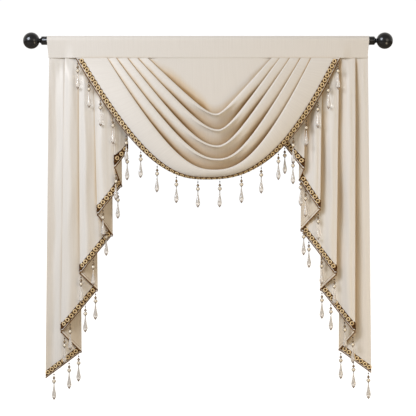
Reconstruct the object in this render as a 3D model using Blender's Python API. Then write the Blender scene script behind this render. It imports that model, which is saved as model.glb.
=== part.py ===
"""Swag and tail drape on a curtain rod.

A rod-pocket header carries a folded swag in front of two pleated cascade tails.
Each hem has a scroll braid with bead drops, and the rod ends in two ball finials.
"""
import math

import bmesh
import bpy
import numpy as np

# Sizes are millimetres. X runs to the right, Z up, and "forward" is out into the room (-Y).
# The origin lies on the rod's axis, half way along it.
MM = 0.001

# Rod and finials
ROD_RADIUS = 16.0
ROD_HALF_LENGTH = 618.0
ROD_SIDES = 20
BALL_RADIUS = 31.0
BALL_DISTANCE = 41.0        # from the rod's end to the ball's centre
BALL_END = 172.8            # degrees round the ball to the small flat at its outer end
BALL_STEPS = 9
NECK_RADIUS = 7.8
NECK_DISTANCE = 9.0
NECK_ENTRY = 1.1            # how wide the ball is cut where the neck meets it, in neck radii
COLLAR = 2.0                # length of the finial's collar
SHOULDER = (5.5, 10.56)     # place and radius between the collar and the neck
FIT_GAP = 0.3               # between pieces that touch

# Cloth
CLOTH = 1.2                 # thickness
SEAM_Z = -65.0              # where the header's lower edge is sewn
TUCK_Z = -57.0              # raw tops of swag and tails, inside the header
TUCK_LEAN = 0.7             # how far the swag's folds lean outward there, for each unit up
TUCK_CORNER = 4.0           # cut off each top corner of the swag's flat middle
HEADER_HALF_TOP = 600.0
HEADER_HALF_SEAM = 594.0
HEADER_BACK = (             # (forward, z) up the header's back layer
    (-3.1, SEAM_Z),
    (-4.6, SEAM_Z + 8.0),
    (-10.5, -34.0),
)
HEADER_DROPS = (0.35, 0.7, 1.0)     # rows down its front layer, as shares of the way to the seam
HEADER_COLUMNS = (-1.0, -0.9, -0.84, -0.4, 0.0, 0.4, 0.84, 0.9, 1.0)
HEADER_TURNS = 10           # steps round the rod
HEADER_FRONT = 17.7         # front layer over the swag
HEADER_FRONT_END = 11.3     # front layer beside the swag, over a tail alone
HEADER_STEP = (500.0, 535.0)

# Swag. Each row is the crest line of one fold, from the left seam down to its lowest point and
# up to the right seam. Roundness is how wide the bottom curve is, bow how much the limbs bend,
# and reach how far forward the crest hangs at its lowest point.
SWAG_FOLDS = (
    # left_x, right_x, low_x, low_z, left_round, right_round, bow, reach
    (-225.0, 237.0, 30.0, -274.0, 0.16, 0.11, 1.01, 44.0),
    (-264.0, 268.0, 37.0, -333.0, 0.27, 0.22, 0.97, 56.0),
    (-302.0, 306.0, 34.0, -393.0, 0.31, 0.24, 1.01, 68.0),
    (-343.0, 346.0, 38.0, -442.0, 0.24, 0.27, 1.13, 81.0),
    (-376.0, 385.0, 24.0, -483.0, 0.27, 0.46, 1.22, 95.0),
)
SWAG_TOP = (-214.0, 226.0, 20.0, SEAM_Z, 0.2, 0.2, 1.0, 15.8)
SWAG_HEM = (-491.0, 490.0, -6.0, -515.0, 0.52, 1.45, 1.25, 62.0)
SWAG_SEAM_LIP = 16.1        # forward place of every crest at the seam
SWAG_SEAM_HEM = 15.6
OVERLAP = (12.0, 17.0)      # how far a band runs in under the next crest: seam, bottom
LIP_DEPTH = (5.0, 28.0)     # how far it lies behind that crest
LIP_ROUND = (1.25, 5.5)     # radius of the crest's roll
LIP_CORNER = 1.0 - math.cos(math.radians(45.0))
TURN_ROUND = (1.25, 4.0)    # radius of the hidden turn
SWELL = 0.8                 # how fast the folds open away from the seam
TOP_SWELL = 3.0             # how much faster the flat top comes forward
BAND_SHARES = (0.3, 0.65)   # rows between one fold and the next
BAND_FALL = (1.15, 0.55)    # a band's curve back from its crest: limbs, bottom
BAND_FALL_SPAN = (0.5, 1.0)
HEM_TURN = (35.0, 90.0)     # degrees that the lowest band rolls under: limbs, bottom
HEM_TURN_SPAN = (0.1, 0.65)
BAND_SAMPLES = 25           # for measuring along the lowest band
SWAG_COLUMNS = 27
COLUMN_CROWDING = 1.25      # brings columns closer together at the bottom of the folds

# Tails. A row for each fold line from the outer edge inward: its place at the seam, its place
# and height at the hem, how far forward it hangs as a share of the pleat depth there, how far
# the cloth after it bellies out, and where bead drops hang on that stretch of hem, as shares.
TAIL_LEFT = (
    # seam_x, hem_x, hem_z, forward, belly, drops
    (-592.0, -604.0, -1254.0, 0.75, 5.0, (0.24, 0.66, 0.93)),
    (-477.0, -472.0, -1157.0, 0.00, 0.0, (0.83,)),
    (-534.0, -550.0, -1083.0, 1.00, 6.0, (0.25, 0.67, 0.96)),
    (-418.0, -412.0, -926.0, 0.08, 0.0, (0.95,)),
    (-485.0, -476.0, -865.0, 1.00, 6.0, (0.42,)),
    (-358.0, -356.0, -721.0, 0.00, 0.0, (0.37,)),
    (-428.0, -413.0, -647.0, 1.00, 4.0, (0.24, 0.84)),
    (-324.0, -321.0, -538.0, 0.12, 0.0, (0.77,)),
    (-354.0, -347.0, -471.0, 0.90, 0.0, (0.92,)),
    (-301.0, -298.0, -408.0, 0.30, 0.0, ()),
)
TAIL_RIGHT = (
    (596.0, 607.0, -1234.0, 0.60, 4.0, (0.09, 0.55, 0.95)),
    (496.0, 488.0, -1150.0, 0.00, 0.0, (0.86,)),
    (549.0, 546.0, -1083.0, 1.00, 3.0, (0.29, 0.70, 0.97)),
    (425.0, 419.0, -924.0, 0.05, 0.0, (0.88,)),
    (488.0, 477.0, -870.0, 1.00, 4.0, (0.41, 0.78)),
    (354.0, 346.0, -702.0, 0.00, 0.0, (0.13, 0.90)),
    (425.0, 417.0, -628.0, 1.00, 0.0, (0.70,)),
    (341.0, 339.0, -516.0, 0.55, 0.0, (0.20,)),
    (366.0, 357.0, -479.0, 1.00, 0.0, (0.55, 0.96)),
    (291.0, 283.0, -386.0, 0.60, 0.0, ()),
)
PLEAT_DEPTH = (8.0, 36.0)   # at the seam, and gained further down
PLEAT_ROUND = (1.3, 5.0)
PLEAT_OPENING = 600.0       # drop over which the pleats open out
TAIL_ROWS = 8
STRETCH_STEPS = 3
TURN_STEPS = 3
TURN_HEM_SHARE = 0.04       # how far a turn spreads along the hem, either way
NORMAL_STEP = 0.01          # step for reading off a surface's direction
NORMAL_ANGLE = 1.0

# Scroll braid, sewn to the face of each hem, with its bead drops
BRAID_WIDTH = 16.5
BRAID_THICKNESS = 1.5
BRAID_INSET = 4.0           # plain cloth left below the braid
BRAID_LINES = (BRAID_INSET, BRAID_INSET + BRAID_WIDTH / 2, BRAID_INSET + BRAID_WIDTH)
BRAID_OFF = CLOTH / 2 + FIT_GAP + BRAID_THICKNESS / 2
BRAID_END = 0.994           # how near each seam the swag's braid is cut, as crest() counts
SWAG_DROPS = 18
SWAG_DROP_MARGIN = 15.0     # hem left at each seam before the first drop
HEM_SAMPLES = 401
DROP_CLEARANCE = 9.2        # from a drop's axis to the cloth behind it
DROP_HALF_WIDTH = 8.0
CLOTH_SAMPLES = (12, 6)     # along each fold row and down, for finding the cloth behind a drop
THREAD = 1.0
THREAD_OFF = BRAID_OFF + 0.3        # a thread's place off the hem's middle surface: in the braid
THREAD_EDGE = THREAD_OFF + 0.2      # and at the hem's edge
TAIL_EDGE = -1.0            # how far below a tail's hem its threads turn down
TAIL_DROP_START = 10.0      # how far down a tail's drop has to be clear of the cloth behind it
ROOT_RISE = 3.0             # how far a thread reaches up into the braid
DROP_SIDES = 4
DROP_SHAPE = (
    # below_hem, radius
    (3.0, THREAD),
    (12.0, 2.6),
    (16.5, 1.2),
    (25.0, 5.5),
    (30.0, 2.4),
    (36.0, 7.8),
    (44.0, 1.6),
    (88.0, 8.0),
)
DROP_TIP = 107.0

CLOTH_COLOUR = (0.80, 0.745, 0.645)
BRAID_COLOUR = (0.33, 0.21, 0.09)
ROD_COLOUR = (0.012, 0.012, 0.013)


def clear_scene():
    for old in list(bpy.data.objects):
        bpy.data.objects.remove(old, do_unlink=True)


def make_material(name, colour, roughness, metallic=0.0):
    material = bpy.data.materials.new(name)
    material.use_nodes = True
    shader = material.node_tree.nodes["Principled BSDF"]
    shader.inputs["Base Color"].default_value = (*colour, 1.0)
    shader.inputs["Roughness"].default_value = roughness
    shader.inputs["Metallic"].default_value = metallic
    return material


def mix(pair, share):
    return pair[0] + (pair[1] - pair[0]) * share


def smooth_step(value, low, high):
    share = min(1.0, max(0.0, (value - low) / (high - low)))
    return share * share * (3.0 - 2.0 * share)


def add_object(name, mesh, material):
    piece = bpy.data.objects.new(name, mesh)
    bpy.context.scene.collection.objects.link(piece)
    mesh.materials.append(material)
    mesh.shade_smooth()
    mesh.set_sharp_from_angle(angle=math.radians(50.0))
    return piece


def sheet(name, grid, thickness, material):
    """A cloth or braid sheet through a grid of (x, forward, z) points, half its thickness each way."""
    points = np.asarray(grid, dtype=float)
    rows, columns = points.shape[:2]
    placed = np.stack((points[..., 0], -points[..., 1], points[..., 2]), axis=-1) * MM
    faces = []
    for row in range(rows - 1):
        for column in range(columns - 1):
            corner = row * columns + column
            across = corner + columns + 1
            faces.append((corner, corner + columns, across))
            faces.append((corner, across, corner + 1))
    mesh = bpy.data.meshes.new(name)
    mesh.from_pydata(placed.reshape(-1, 3).tolist(), [], faces)
    piece = add_object(name, mesh, material)
    solid = piece.modifiers.new("Thickness", "SOLIDIFY")
    solid.thickness = thickness * MM
    solid.offset = 0.0
    solid.use_even_offset = False
    return piece


def lathe(name, profile, place, direction, material):
    """Turns (distance, radius) pairs about X, from a place on the axis; closed at both ends."""
    model = bmesh.new()
    rings = []
    for distance, radius in profile:
        x = place + direction * distance
        ring = []
        for side in range(ROD_SIDES):
            angle = 2.0 * math.pi * side / ROD_SIDES
            spot = (x * MM, radius * math.cos(angle) * MM, radius * math.sin(angle) * MM)
            ring.append(model.verts.new(spot))
        rings.append(ring)
    for first, second in zip(rings, rings[1:]):
        model.faces.new((first[-1], first[0], second[0], second[-1]))
        for side in range(ROD_SIDES - 1):
            model.faces.new((first[side], first[side + 1], second[side + 1], second[side]))
    model.faces.new(rings[0])
    model.faces.new(rings[-1])
    bmesh.ops.recalc_face_normals(model, faces=model.faces)
    mesh = bpy.data.meshes.new(name)
    model.to_mesh(mesh)
    model.free()
    return add_object(name, mesh, material)


def build_rod(material):
    lathe("rod", ((0.0, ROD_RADIUS), (2.0 * ROD_HALF_LENGTH, ROD_RADIUS)), -ROD_HALF_LENGTH, 1.0, material)


def finial_profile():
    """Collar, waisted neck and ball, measured outward from the rod's end."""
    profile = [(FIT_GAP, ROD_RADIUS), (COLLAR, ROD_RADIUS), SHOULDER, (NECK_DISTANCE, NECK_RADIUS)]
    first = math.asin(NECK_ENTRY * NECK_RADIUS / BALL_RADIUS)
    for angle in np.linspace(first, math.radians(BALL_END), BALL_STEPS):
        along = BALL_DISTANCE - BALL_RADIUS * math.cos(angle)
        profile.append((along, BALL_RADIUS * math.sin(angle)))
    return profile


def header_front(x):
    """How far forward the header's front layer lies at the seam."""
    return mix((HEADER_FRONT, HEADER_FRONT_END), smooth_step(abs(x), *HEADER_STEP))


def build_header(material):
    """One band folded over the rod: up its back, over the top and down its front."""
    radius = ROD_RADIUS + FIT_GAP + CLOTH / 2
    grid = []
    for forward, z in HEADER_BACK:
        grid.append([(header_x(share, z), forward, z) for share in HEADER_COLUMNS])
    for step in range(HEADER_TURNS + 1):
        angle = math.pi * step / HEADER_TURNS
        forward = -radius * math.cos(angle)
        z = radius * math.sin(angle)
        grid.append([(header_x(share, z), forward, z) for share in HEADER_COLUMNS])
    for drop in HEADER_DROPS:
        z = SEAM_Z * drop
        row = []
        for share in HEADER_COLUMNS:
            x = header_x(share, z)
            row.append((x, mix((radius, header_front(x)), drop), z))
        grid.append(row)
    sheet("header", grid, CLOTH, material)


def header_x(share, z):
    half = mix((HEADER_HALF_TOP, HEADER_HALF_SEAM), max(0.0, z / SEAM_Z))
    return share * half


def crest(fold, t):
    """Point (x, z) of a fold's crest line; t is -1 at the left seam, 0 lowest, 1 at the right seam."""
    left_x, right_x, low_x, low_z, left_round, right_round, bow = fold[:7]
    side_x = right_x if t > 0.0 else left_x
    round_ = right_round if t > 0.0 else left_round
    run = abs(t) ** bow
    rise = (math.hypot(round_, run) - round_) / (math.hypot(round_, 1.0) - round_)
    return np.array((low_x + (side_x - low_x) * abs(t), low_z + (SEAM_Z - low_z) * rise))


def opening(t):
    """How far the folds have opened, from 0 at either seam to 1 at the bottom."""
    return (1.0 - t * t) ** SWELL


def beyond(inner, outer, distance):
    """A point past the inner one, towards the outer one."""
    step = outer - inner
    return inner + step * (distance / np.linalg.norm(step))


def lowest_band(t, share):
    """Point of the band from the last crest to the hem, which rolls under at the bottom."""
    open_ = opening(t)
    start = crest(SWAG_FOLDS[-1], t)
    end = crest(SWAG_HEM, t)
    lip = mix(LIP_ROUND, open_)
    start = beyond(start, end, lip)
    crest_forward = mix((SWAG_SEAM_LIP, SWAG_FOLDS[-1][-1]), open_)
    hem_forward = mix((SWAG_SEAM_HEM, SWAG_HEM[-1]), open_)
    limb = smooth_step(abs(t), *HEM_TURN_SPAN)
    turn = math.radians(mix((HEM_TURN[1], HEM_TURN[0]), limb))
    angle = turn * share
    out = math.sin(angle) / math.sin(turn)
    back = (1.0 - math.cos(angle)) / (1.0 - math.cos(turn))
    spot = start + (end - start) * out
    return np.array((spot[0], mix((crest_forward, hem_forward), back), spot[1]))


def swag_section(t):
    """Points across the swag at t, from its flat top down over every fold to the hem."""
    open_ = opening(t)
    overlap = mix(OVERLAP, open_)
    depth = mix(LIP_DEPTH, open_)
    lip = mix(LIP_ROUND, open_)
    turn = mix(TURN_ROUND, open_)
    fall = mix(BAND_FALL, smooth_step(open_, *BAND_FALL_SPAN))
    lines = [crest(fold, t) for fold in (SWAG_TOP, *SWAG_FOLDS, SWAG_HEM)]
    section = []
    band_start = lines[0]
    band_forward = mix((SWAG_SEAM_LIP - LIP_DEPTH[0], SWAG_TOP[-1]), min(1.0, TOP_SWELL * open_))
    section.append((*band_start, band_forward))
    for number, fold in enumerate(SWAG_FOLDS, start=1):
        line = lines[number]
        outer = lines[number + 1]
        forward = mix((SWAG_SEAM_LIP, fold[-1]), open_)
        under = beyond(line, outer, overlap - turn)
        for share in BAND_SHARES:
            spot = band_start + (under - band_start) * share
            shape = share if number == 1 else share ** fall
            section.append((*spot, mix((band_forward, forward - depth), shape)))
        section.append((*under, forward - depth))
        section.append((*beyond(line, outer, overlap), forward - depth + turn))
        section.append((*under, forward - depth + 2.0 * turn))
        start = beyond(line, outer, lip)
        section.append((*start, forward - 2.0 * lip))
        section.append((*line, forward - lip))
        section.append((*beyond(line, outer, LIP_CORNER * lip), forward - LIP_CORNER * lip))
        section.append((*start, forward))
        band_start = start
        band_forward = forward
    points = [np.array((x, forward, z)) for x, z, forward in section]
    shares = [band_share(t, distance) for distance in (0.0, *BRAID_LINES)]
    shares.append(0.5 * shares[-1])
    for share in sorted(shares):
        points.append(lowest_band(t, share))
    return points


def tuck(section, side):
    """Carries the sewn end of the folds on up into the header, leaning outward as they do."""
    rise = TUCK_Z - SEAM_Z
    return [point + np.array((side * TUCK_LEAN * rise, 0.0, rise)) for point in section]


def swag_columns():
    shares = np.linspace(-1.0, 1.0, SWAG_COLUMNS)
    return np.sign(shares) * np.abs(shares) ** COLUMN_CROWDING


def build_swag(material):
    sections = [swag_section(t) for t in swag_columns()]
    sections = [tuck(sections[0], -1.0), *sections, tuck(sections[-1], 1.0)]
    tops = []
    for section in sections:
        top = section[0].copy()
        top[2] = TUCK_Z
        tops.append(top)
    tops[0][0] += TUCK_CORNER
    tops[-1][0] -= TUCK_CORNER
    grid = [[top, *section] for top, section in zip(tops, sections)]
    sheet("swag", np.swapaxes(np.array(grid), 0, 1), CLOTH, material)


def pleat_opening(z):
    return 1.0 - math.exp(min(0.0, z - SEAM_Z) / PLEAT_OPENING)


def tail_columns(rows):
    """Column keys (place, angle): place counts fold rows, and angle is set only within a turn."""
    columns = [(0.0, None)]
    for row in range(len(rows) - 1):
        for step in range(1, STRETCH_STEPS + 1):
            columns.append((row + step / (STRETCH_STEPS + 1.0), None))
        if row + 2 == len(rows):
            columns.append((row + 1.0, None))
        else:
            for step in range(TURN_STEPS + 1):
                columns.append((row + 1.0, -90.0 + 180.0 * step / TURN_STEPS))
    return columns


def fold_x(row, z):
    drop = (z - SEAM_Z) / (row[2] - SEAM_Z)
    return row[0] + (row[1] - row[0]) * drop


def turn_point(rows, number, angle, z):
    """Plan point of a pleat's rounded turn; odd rows turn inward and even rows outward."""
    row = rows[number]
    open_ = pleat_opening(z)
    forward = row[3] * (PLEAT_DEPTH[0] + PLEAT_DEPTH[1] * open_)
    x = fold_x(row, z)
    if number in (0, len(rows) - 1):
        return np.array((x, forward, z))
    radius = PLEAT_ROUND[0] + PLEAT_ROUND[1] * open_
    outward = math.copysign(1.0, rows[0][0])
    if number % 2 == 1:
        outward = -outward
    angle = math.radians(angle)
    return np.array((x + outward * radius * (math.cos(angle) - 1.0), forward + radius * math.sin(angle), z))


def tail_point(rows, column, z):
    """Point of a tail's middle surface in a column, at a height."""
    place, angle = column
    number = min(int(place), len(rows) - 2)
    if angle is not None:
        return turn_point(rows, int(place), angle, z)
    share = place - number
    start = turn_point(rows, number, 90.0, z)
    end = turn_point(rows, number + 1, -90.0, z)
    belly = rows[number][4] * pleat_opening(z) * math.sin(math.pi * share)
    eased = 0.5 * share + 0.5 * smooth_step(share, 0.0, 1.0)
    spot = start + (end - start) * share
    spot[1] = start[1] + (end[1] - start[1]) * eased + belly
    return spot


def hem_place(column):
    """Where a column stands along the hem; turns are spread a little so that it keeps rising."""
    place, angle = column
    return place if angle is None else place + TURN_HEM_SHARE * angle / 90.0


def tail_hem(rows, column):
    return float(np.interp(hem_place(column), range(len(rows)), [row[2] for row in rows]))


def hem_stretch(rows, column):
    """Upright length of hem for each length across the braid, from the hem's slope."""
    middles = []
    for near, far in zip(rows, rows[1:]):
        middles.append(math.hypot(1.0, (far[2] - near[2]) / (far[1] - near[1])))
    return float(np.interp(hem_place(column), np.arange(len(middles)) + 0.5, middles))


def tail_normal(rows, column, z):
    """Direction that the tail's face looks in."""
    place, angle = column
    if angle is None:
        before = tail_point(rows, (max(0.0, place - NORMAL_STEP), None), z)
        after = tail_point(rows, (min(len(rows) - 1.0, place + NORMAL_STEP), None), z)
    else:
        before = turn_point(rows, int(place), angle - NORMAL_ANGLE, z)
        after = turn_point(rows, int(place), angle + NORMAL_ANGLE, z)
    along = after - before
    outward = math.copysign(1.0, rows[0][0])
    normal = np.array((along[1], -along[0], 0.0)) * outward
    return normal / np.linalg.norm(normal)


def build_tail(name, rows, material):
    columns = tail_columns(rows)
    grid = []
    for share in np.linspace(0.0, 1.0, TAIL_ROWS):
        line = []
        for column in columns:
            z = TUCK_Z + (tail_hem(rows, column) - TUCK_Z) * share
            line.append(tail_point(rows, column, z))
        grid.append(line)
    sheet(name, grid, CLOTH, material)


def tail_braid_point(rows, column, distance, off):
    """Point on the hem's face, a distance up from the hem edge and off its middle surface."""
    z = tail_hem(rows, column) + distance * hem_stretch(rows, column)
    return tail_point(rows, column, z) + off * tail_normal(rows, column, z)


def cloth_behind(rows, x, high_z, low_z):
    """How far forward the tail reaches at x, between two heights; None where there is no cloth."""
    reach = None
    along, down = CLOTH_SAMPLES
    keys = np.linspace(0.0, len(rows) - 1.0, along * len(rows))
    for z in np.linspace(high_z, low_z, down):
        spots = [tail_point(rows, (key, None), z) for key in keys]
        hems = [tail_hem(rows, (key, None)) for key in keys]
        for first, second, hem in zip(spots, spots[1:], hems):
            low, high = sorted((first[0], second[0]))
            if hem < z and low - DROP_HALF_WIDTH <= x <= high + DROP_HALF_WIDTH:
                near = max(first[1], second[1])
                reach = near if reach is None else max(reach, near)
    return reach


def drop_rings(root, edge, forward):
    """Centres and radii of a drop: its thread's root, the hem's edge, then the beads hanging below."""
    rings = [(root, THREAD), (edge, THREAD)]
    for below, radius in DROP_SHAPE:
        share = smooth_step(below, 0.0, DROP_SHAPE[2][0])
        spot = np.array((edge[0], mix((edge[1], forward), share), edge[2] - below))
        rings.append((spot, radius))
    rings.append((np.array((edge[0], forward, edge[2] - DROP_TIP)), None))
    return rings


def add_drop(model, rings):
    loops = []
    for spot, radius in rings[:-1]:
        loop = []
        for side in range(DROP_SIDES):
            angle = 2.0 * math.pi * side / DROP_SIDES
            x = spot[0] + radius * math.cos(angle)
            forward = spot[1] + radius * math.sin(angle)
            loop.append(model.verts.new((x * MM, -forward * MM, spot[2] * MM)))
        loops.append(loop)
    tip = rings[-1][0]
    point = model.verts.new((tip[0] * MM, -tip[1] * MM, tip[2] * MM))
    for upper, lower in zip(loops, loops[1:]):
        for side in range(DROP_SIDES):
            after = (side + 1) % DROP_SIDES
            model.faces.new((upper[side], upper[after], lower[after], lower[side]))
    for side in range(DROP_SIDES):
        after = (side + 1) % DROP_SIDES
        model.faces.new((loops[-1][side], loops[-1][after], point))
    model.faces.new(loops[0])


def fuse_drops(braid, drops, material):
    """Unites bead drops with the braid that they hang from."""
    model = bmesh.new()
    for rings in drops:
        add_drop(model, rings)
    bmesh.ops.recalc_face_normals(model, faces=model.faces)
    mesh = bpy.data.meshes.new(braid.name + "_drops")
    model.to_mesh(mesh)
    model.free()
    guide = add_object(braid.name + "_drops", mesh, material)
    guide.hide_render = True
    guide.display_type = "WIRE"
    union = braid.modifiers.new("Drops", "BOOLEAN")
    union.operation = "UNION"
    union.solver = "EXACT"
    union.object = guide


def swag_normal(t, share):
    """Direction that the lowest band's face looks in: forward, or down where it rolls under."""
    before = lowest_band(max(-1.0, t - NORMAL_STEP), share)
    after = lowest_band(min(1.0, t + NORMAL_STEP), share)
    inner = lowest_band(t, share - NORMAL_STEP)
    outer = lowest_band(t, min(1.0, share + NORMAL_STEP))
    normal = np.cross(after - before, outer - inner)
    normal /= np.linalg.norm(normal)
    return normal if normal[1] - 0.5 * normal[2] > 0.0 else -normal


def band_share(t, distance):
    """Share of the lowest band that lies a distance in from its hem."""
    shares = np.linspace(1.0, 0.0, BAND_SAMPLES)
    spots = [lowest_band(t, share) for share in shares]
    steps = [np.linalg.norm(after - before) for before, after in zip(spots, spots[1:])]
    return float(np.interp(distance, np.concatenate(([0.0], np.cumsum(steps))), shares))


def swag_braid_point(t, distance, off):
    share = band_share(t, distance)
    return lowest_band(t, share) + off * swag_normal(t, share)


def swag_drop_places():
    """Even steps along the hem."""
    keys = np.linspace(-1.0, 1.0, HEM_SAMPLES)
    spots = np.array([lowest_band(key, 1.0) for key in keys])
    steps = np.linalg.norm(np.diff(spots, axis=0), axis=1)
    lengths = np.concatenate(([0.0], np.cumsum(steps)))
    wanted = np.linspace(SWAG_DROP_MARGIN, lengths[-1] - SWAG_DROP_MARGIN, SWAG_DROPS)
    return np.interp(wanted, lengths, keys)


def drop_forward(spot, start):
    """Brings a drop's axis far enough forward to clear the tail behind it."""
    rows = TAIL_LEFT if spot[0] < 0.0 else TAIL_RIGHT
    behind = cloth_behind(rows, spot[0], spot[2] - start, spot[2] - DROP_TIP)
    return spot[1] if behind is None else max(spot[1], behind + DROP_CLEARANCE)


def build_swag_fringe(material):
    columns = np.clip(swag_columns(), -BRAID_END, BRAID_END)
    grid = []
    for distance in reversed(BRAID_LINES):
        grid.append([swag_braid_point(t, distance, BRAID_OFF) for t in columns])
    braid = sheet("swag_fringe", grid, BRAID_THICKNESS, material)
    drops = []
    for t in swag_drop_places():
        root = swag_braid_point(t, BRAID_INSET + ROOT_RISE, THREAD_OFF)
        edge = swag_braid_point(t, 0.0, THREAD_EDGE)
        drops.append(drop_rings(root, edge, drop_forward(edge, 0.0)))
    fuse_drops(braid, drops, material)


def build_tail_fringe(name, rows, material):
    columns = tail_columns(rows)
    grid = []
    for distance in (BRAID_INSET + BRAID_WIDTH, BRAID_INSET):
        grid.append([tail_braid_point(rows, column, distance, BRAID_OFF) for column in columns])
    braid = sheet(name, grid, BRAID_THICKNESS, material)
    drops = []
    for number, row in enumerate(rows):
        for share in row[5]:
            column = (number + share, None)
            root = tail_braid_point(rows, column, BRAID_INSET + ROOT_RISE, THREAD_OFF)
            edge = tail_braid_point(rows, column, TAIL_EDGE, THREAD_EDGE)
            drops.append(drop_rings(root, edge, drop_forward(edge, TAIL_DROP_START)))
    fuse_drops(braid, drops, material)


def build():
    clear_scene()
    cloth = make_material("ivory_satin", CLOTH_COLOUR, 0.55)
    braid = make_material("gold_scroll_braid", BRAID_COLOUR, 0.6)
    black = make_material("black_enamel", ROD_COLOUR, 0.2)
    build_rod(black)
    lathe("finial_left", finial_profile(), -ROD_HALF_LENGTH, -1.0, black)
    lathe("finial_right", finial_profile(), ROD_HALF_LENGTH, 1.0, black)
    build_header(cloth)
    build_swag(cloth)
    build_tail("tail_left", TAIL_LEFT, cloth)
    build_tail("tail_right", TAIL_RIGHT, cloth)
    build_swag_fringe(braid)
    build_tail_fringe("tail_left_fringe", TAIL_LEFT, braid)
    build_tail_fringe("tail_right_fringe", TAIL_RIGHT, braid)


build()
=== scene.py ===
import math

import bmesh
import bpy
import numpy as np
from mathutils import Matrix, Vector
from mathutils.bvhtree import BVHTree


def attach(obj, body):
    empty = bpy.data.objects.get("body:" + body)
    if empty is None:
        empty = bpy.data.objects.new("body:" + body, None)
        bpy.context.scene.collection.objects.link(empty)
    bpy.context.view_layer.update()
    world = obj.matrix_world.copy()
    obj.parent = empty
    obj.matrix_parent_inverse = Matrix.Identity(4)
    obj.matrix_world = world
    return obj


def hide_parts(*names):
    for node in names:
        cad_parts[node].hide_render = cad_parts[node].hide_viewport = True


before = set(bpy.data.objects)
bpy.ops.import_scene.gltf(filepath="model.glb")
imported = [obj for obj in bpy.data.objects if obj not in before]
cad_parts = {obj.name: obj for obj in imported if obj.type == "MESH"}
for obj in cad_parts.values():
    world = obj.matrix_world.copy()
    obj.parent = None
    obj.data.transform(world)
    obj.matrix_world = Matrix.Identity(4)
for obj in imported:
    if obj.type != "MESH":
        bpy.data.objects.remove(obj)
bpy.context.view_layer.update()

print("frame loaded, parts:", ", ".join(sorted(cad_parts)))

# Sizes in this file are millimetres until a mesh is made, and metres in the materials, the fold shade
# and the studio. x runs to the right, z up, and "forward" is out into the room, which is -y. The
# origin is on the rod, half way along it.
mm = 0.001
seamZ = -65.0  # the header is sewn to what hangs from it here
tuckZ = -57.0  # and those sheets end inside it here


def mix(pair, share):
    return pair[0] + (pair[1] - pair[0]) * share


def smoothStep(value, low, high):
    share = np.clip((value - low) / (high - low), 0.0, 1.0)
    return share * share * (3.0 - 2.0 * share)


def lengthsAlong(spots):
    return np.concatenate(([0.0], np.cumsum(np.linalg.norm(np.diff(spots, axis=0), axis=1))))


def unit(ways):
    return ways / np.linalg.norm(ways, axis=-1, keepdims=True)


def linked(name, data):
    thing = bpy.data.objects.new(name, data)
    bpy.context.scene.collection.objects.link(thing)
    return thing


def store(mesh, label, kind, values):
    field = "vector" if kind == "FLOAT_VECTOR" else "value"
    values = np.asarray(values, dtype=bool if kind == "BOOLEAN" else np.float32)
    mesh.attributes.new(label, kind, "POINT").data.foreach_set(field, values.ravel())


def feed(tree, node, values):
    # each value is a plain one, or the output socket that feeds the input
    for key, value in values.items():
        if isinstance(value, bpy.types.NodeSocket):
            tree.links.new(value, node.inputs[key])
        else:
            node.inputs[key].default_value = value


def addNode(tree, kind, values=None, **settings):
    node = tree.nodes.new(kind)
    for key, value in settings.items():
        setattr(node, key, value)
    feed(tree, node, values or {})
    return node


def newTree(name, kind, inputs, outputs):
    # inputs: name, socket type and value, or None; outputs: name and socket type
    tree = bpy.data.node_groups.new(name, kind)
    for label, socketType, value in inputs:
        socket = tree.interface.new_socket(label, in_out="INPUT", socket_type=socketType)
        if value is not None:
            socket.default_value = value
    for label, socketType in outputs:
        tree.interface.new_socket(label, in_out="OUTPUT", socket_type=socketType)
    return tree, addNode(tree, "NodeGroupInput").outputs, addNode(tree, "NodeGroupOutput")


def newMaterial(name):
    material = bpy.data.materials.new(name)
    material.use_nodes = True
    tree = material.node_tree
    return material, tree, tree.nodes["Principled BSDF"]


def mathNode(tree, operation, *values):
    return addNode(tree, "ShaderNodeMath", dict(enumerate(values)), operation=operation).outputs[0]


def mixColour(tree, factor, first, second, blend="MIX"):
    values = {0: factor, 6: first, 7: second}
    return addNode(tree, "ShaderNodeMix", values, data_type="RGBA", blend_type=blend).outputs[2]


def ranged(tree, value, within, onto=(0.0, 1.0)):
    values = {"Value": value, "From Min": within[0], "From Max": within[1]}
    values |= {"To Min": onto[0], "To Max": onto[1]}
    return addNode(tree, "ShaderNodeMapRange", values).outputs[0]


def noise(tree, place, scale, detail):
    values = {"Vector": place, "Scale": scale, "Detail": detail}
    return addNode(tree, "ShaderNodeTexNoise", values).outputs[0]


def grained(tree, scale, detail):
    return noise(tree, addNode(tree, "ShaderNodeTexCoord").outputs["Object"], scale, detail)


def relief(tree, height, strength, distance):
    values = {"Height": height, "Strength": strength, "Distance": distance}
    return addNode(tree, "ShaderNodeBump", values).outputs[0]


def attribute(tree, name):
    return addNode(tree, "ShaderNodeAttribute", attribute_name=name).outputs["Fac"]


# threads: ribs down the cloth, floats that lean across them, and slubs, which are long thick places
weave = {"pitch": 0.001, "ribHeight": 0.6, "floatHeight": 0.4, "floatPitch": 5.0, "floatLean": 2.5,
         "slubWidth": 0.004, "slubLength": 0.1, "slubDetail": 2.0}


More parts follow.
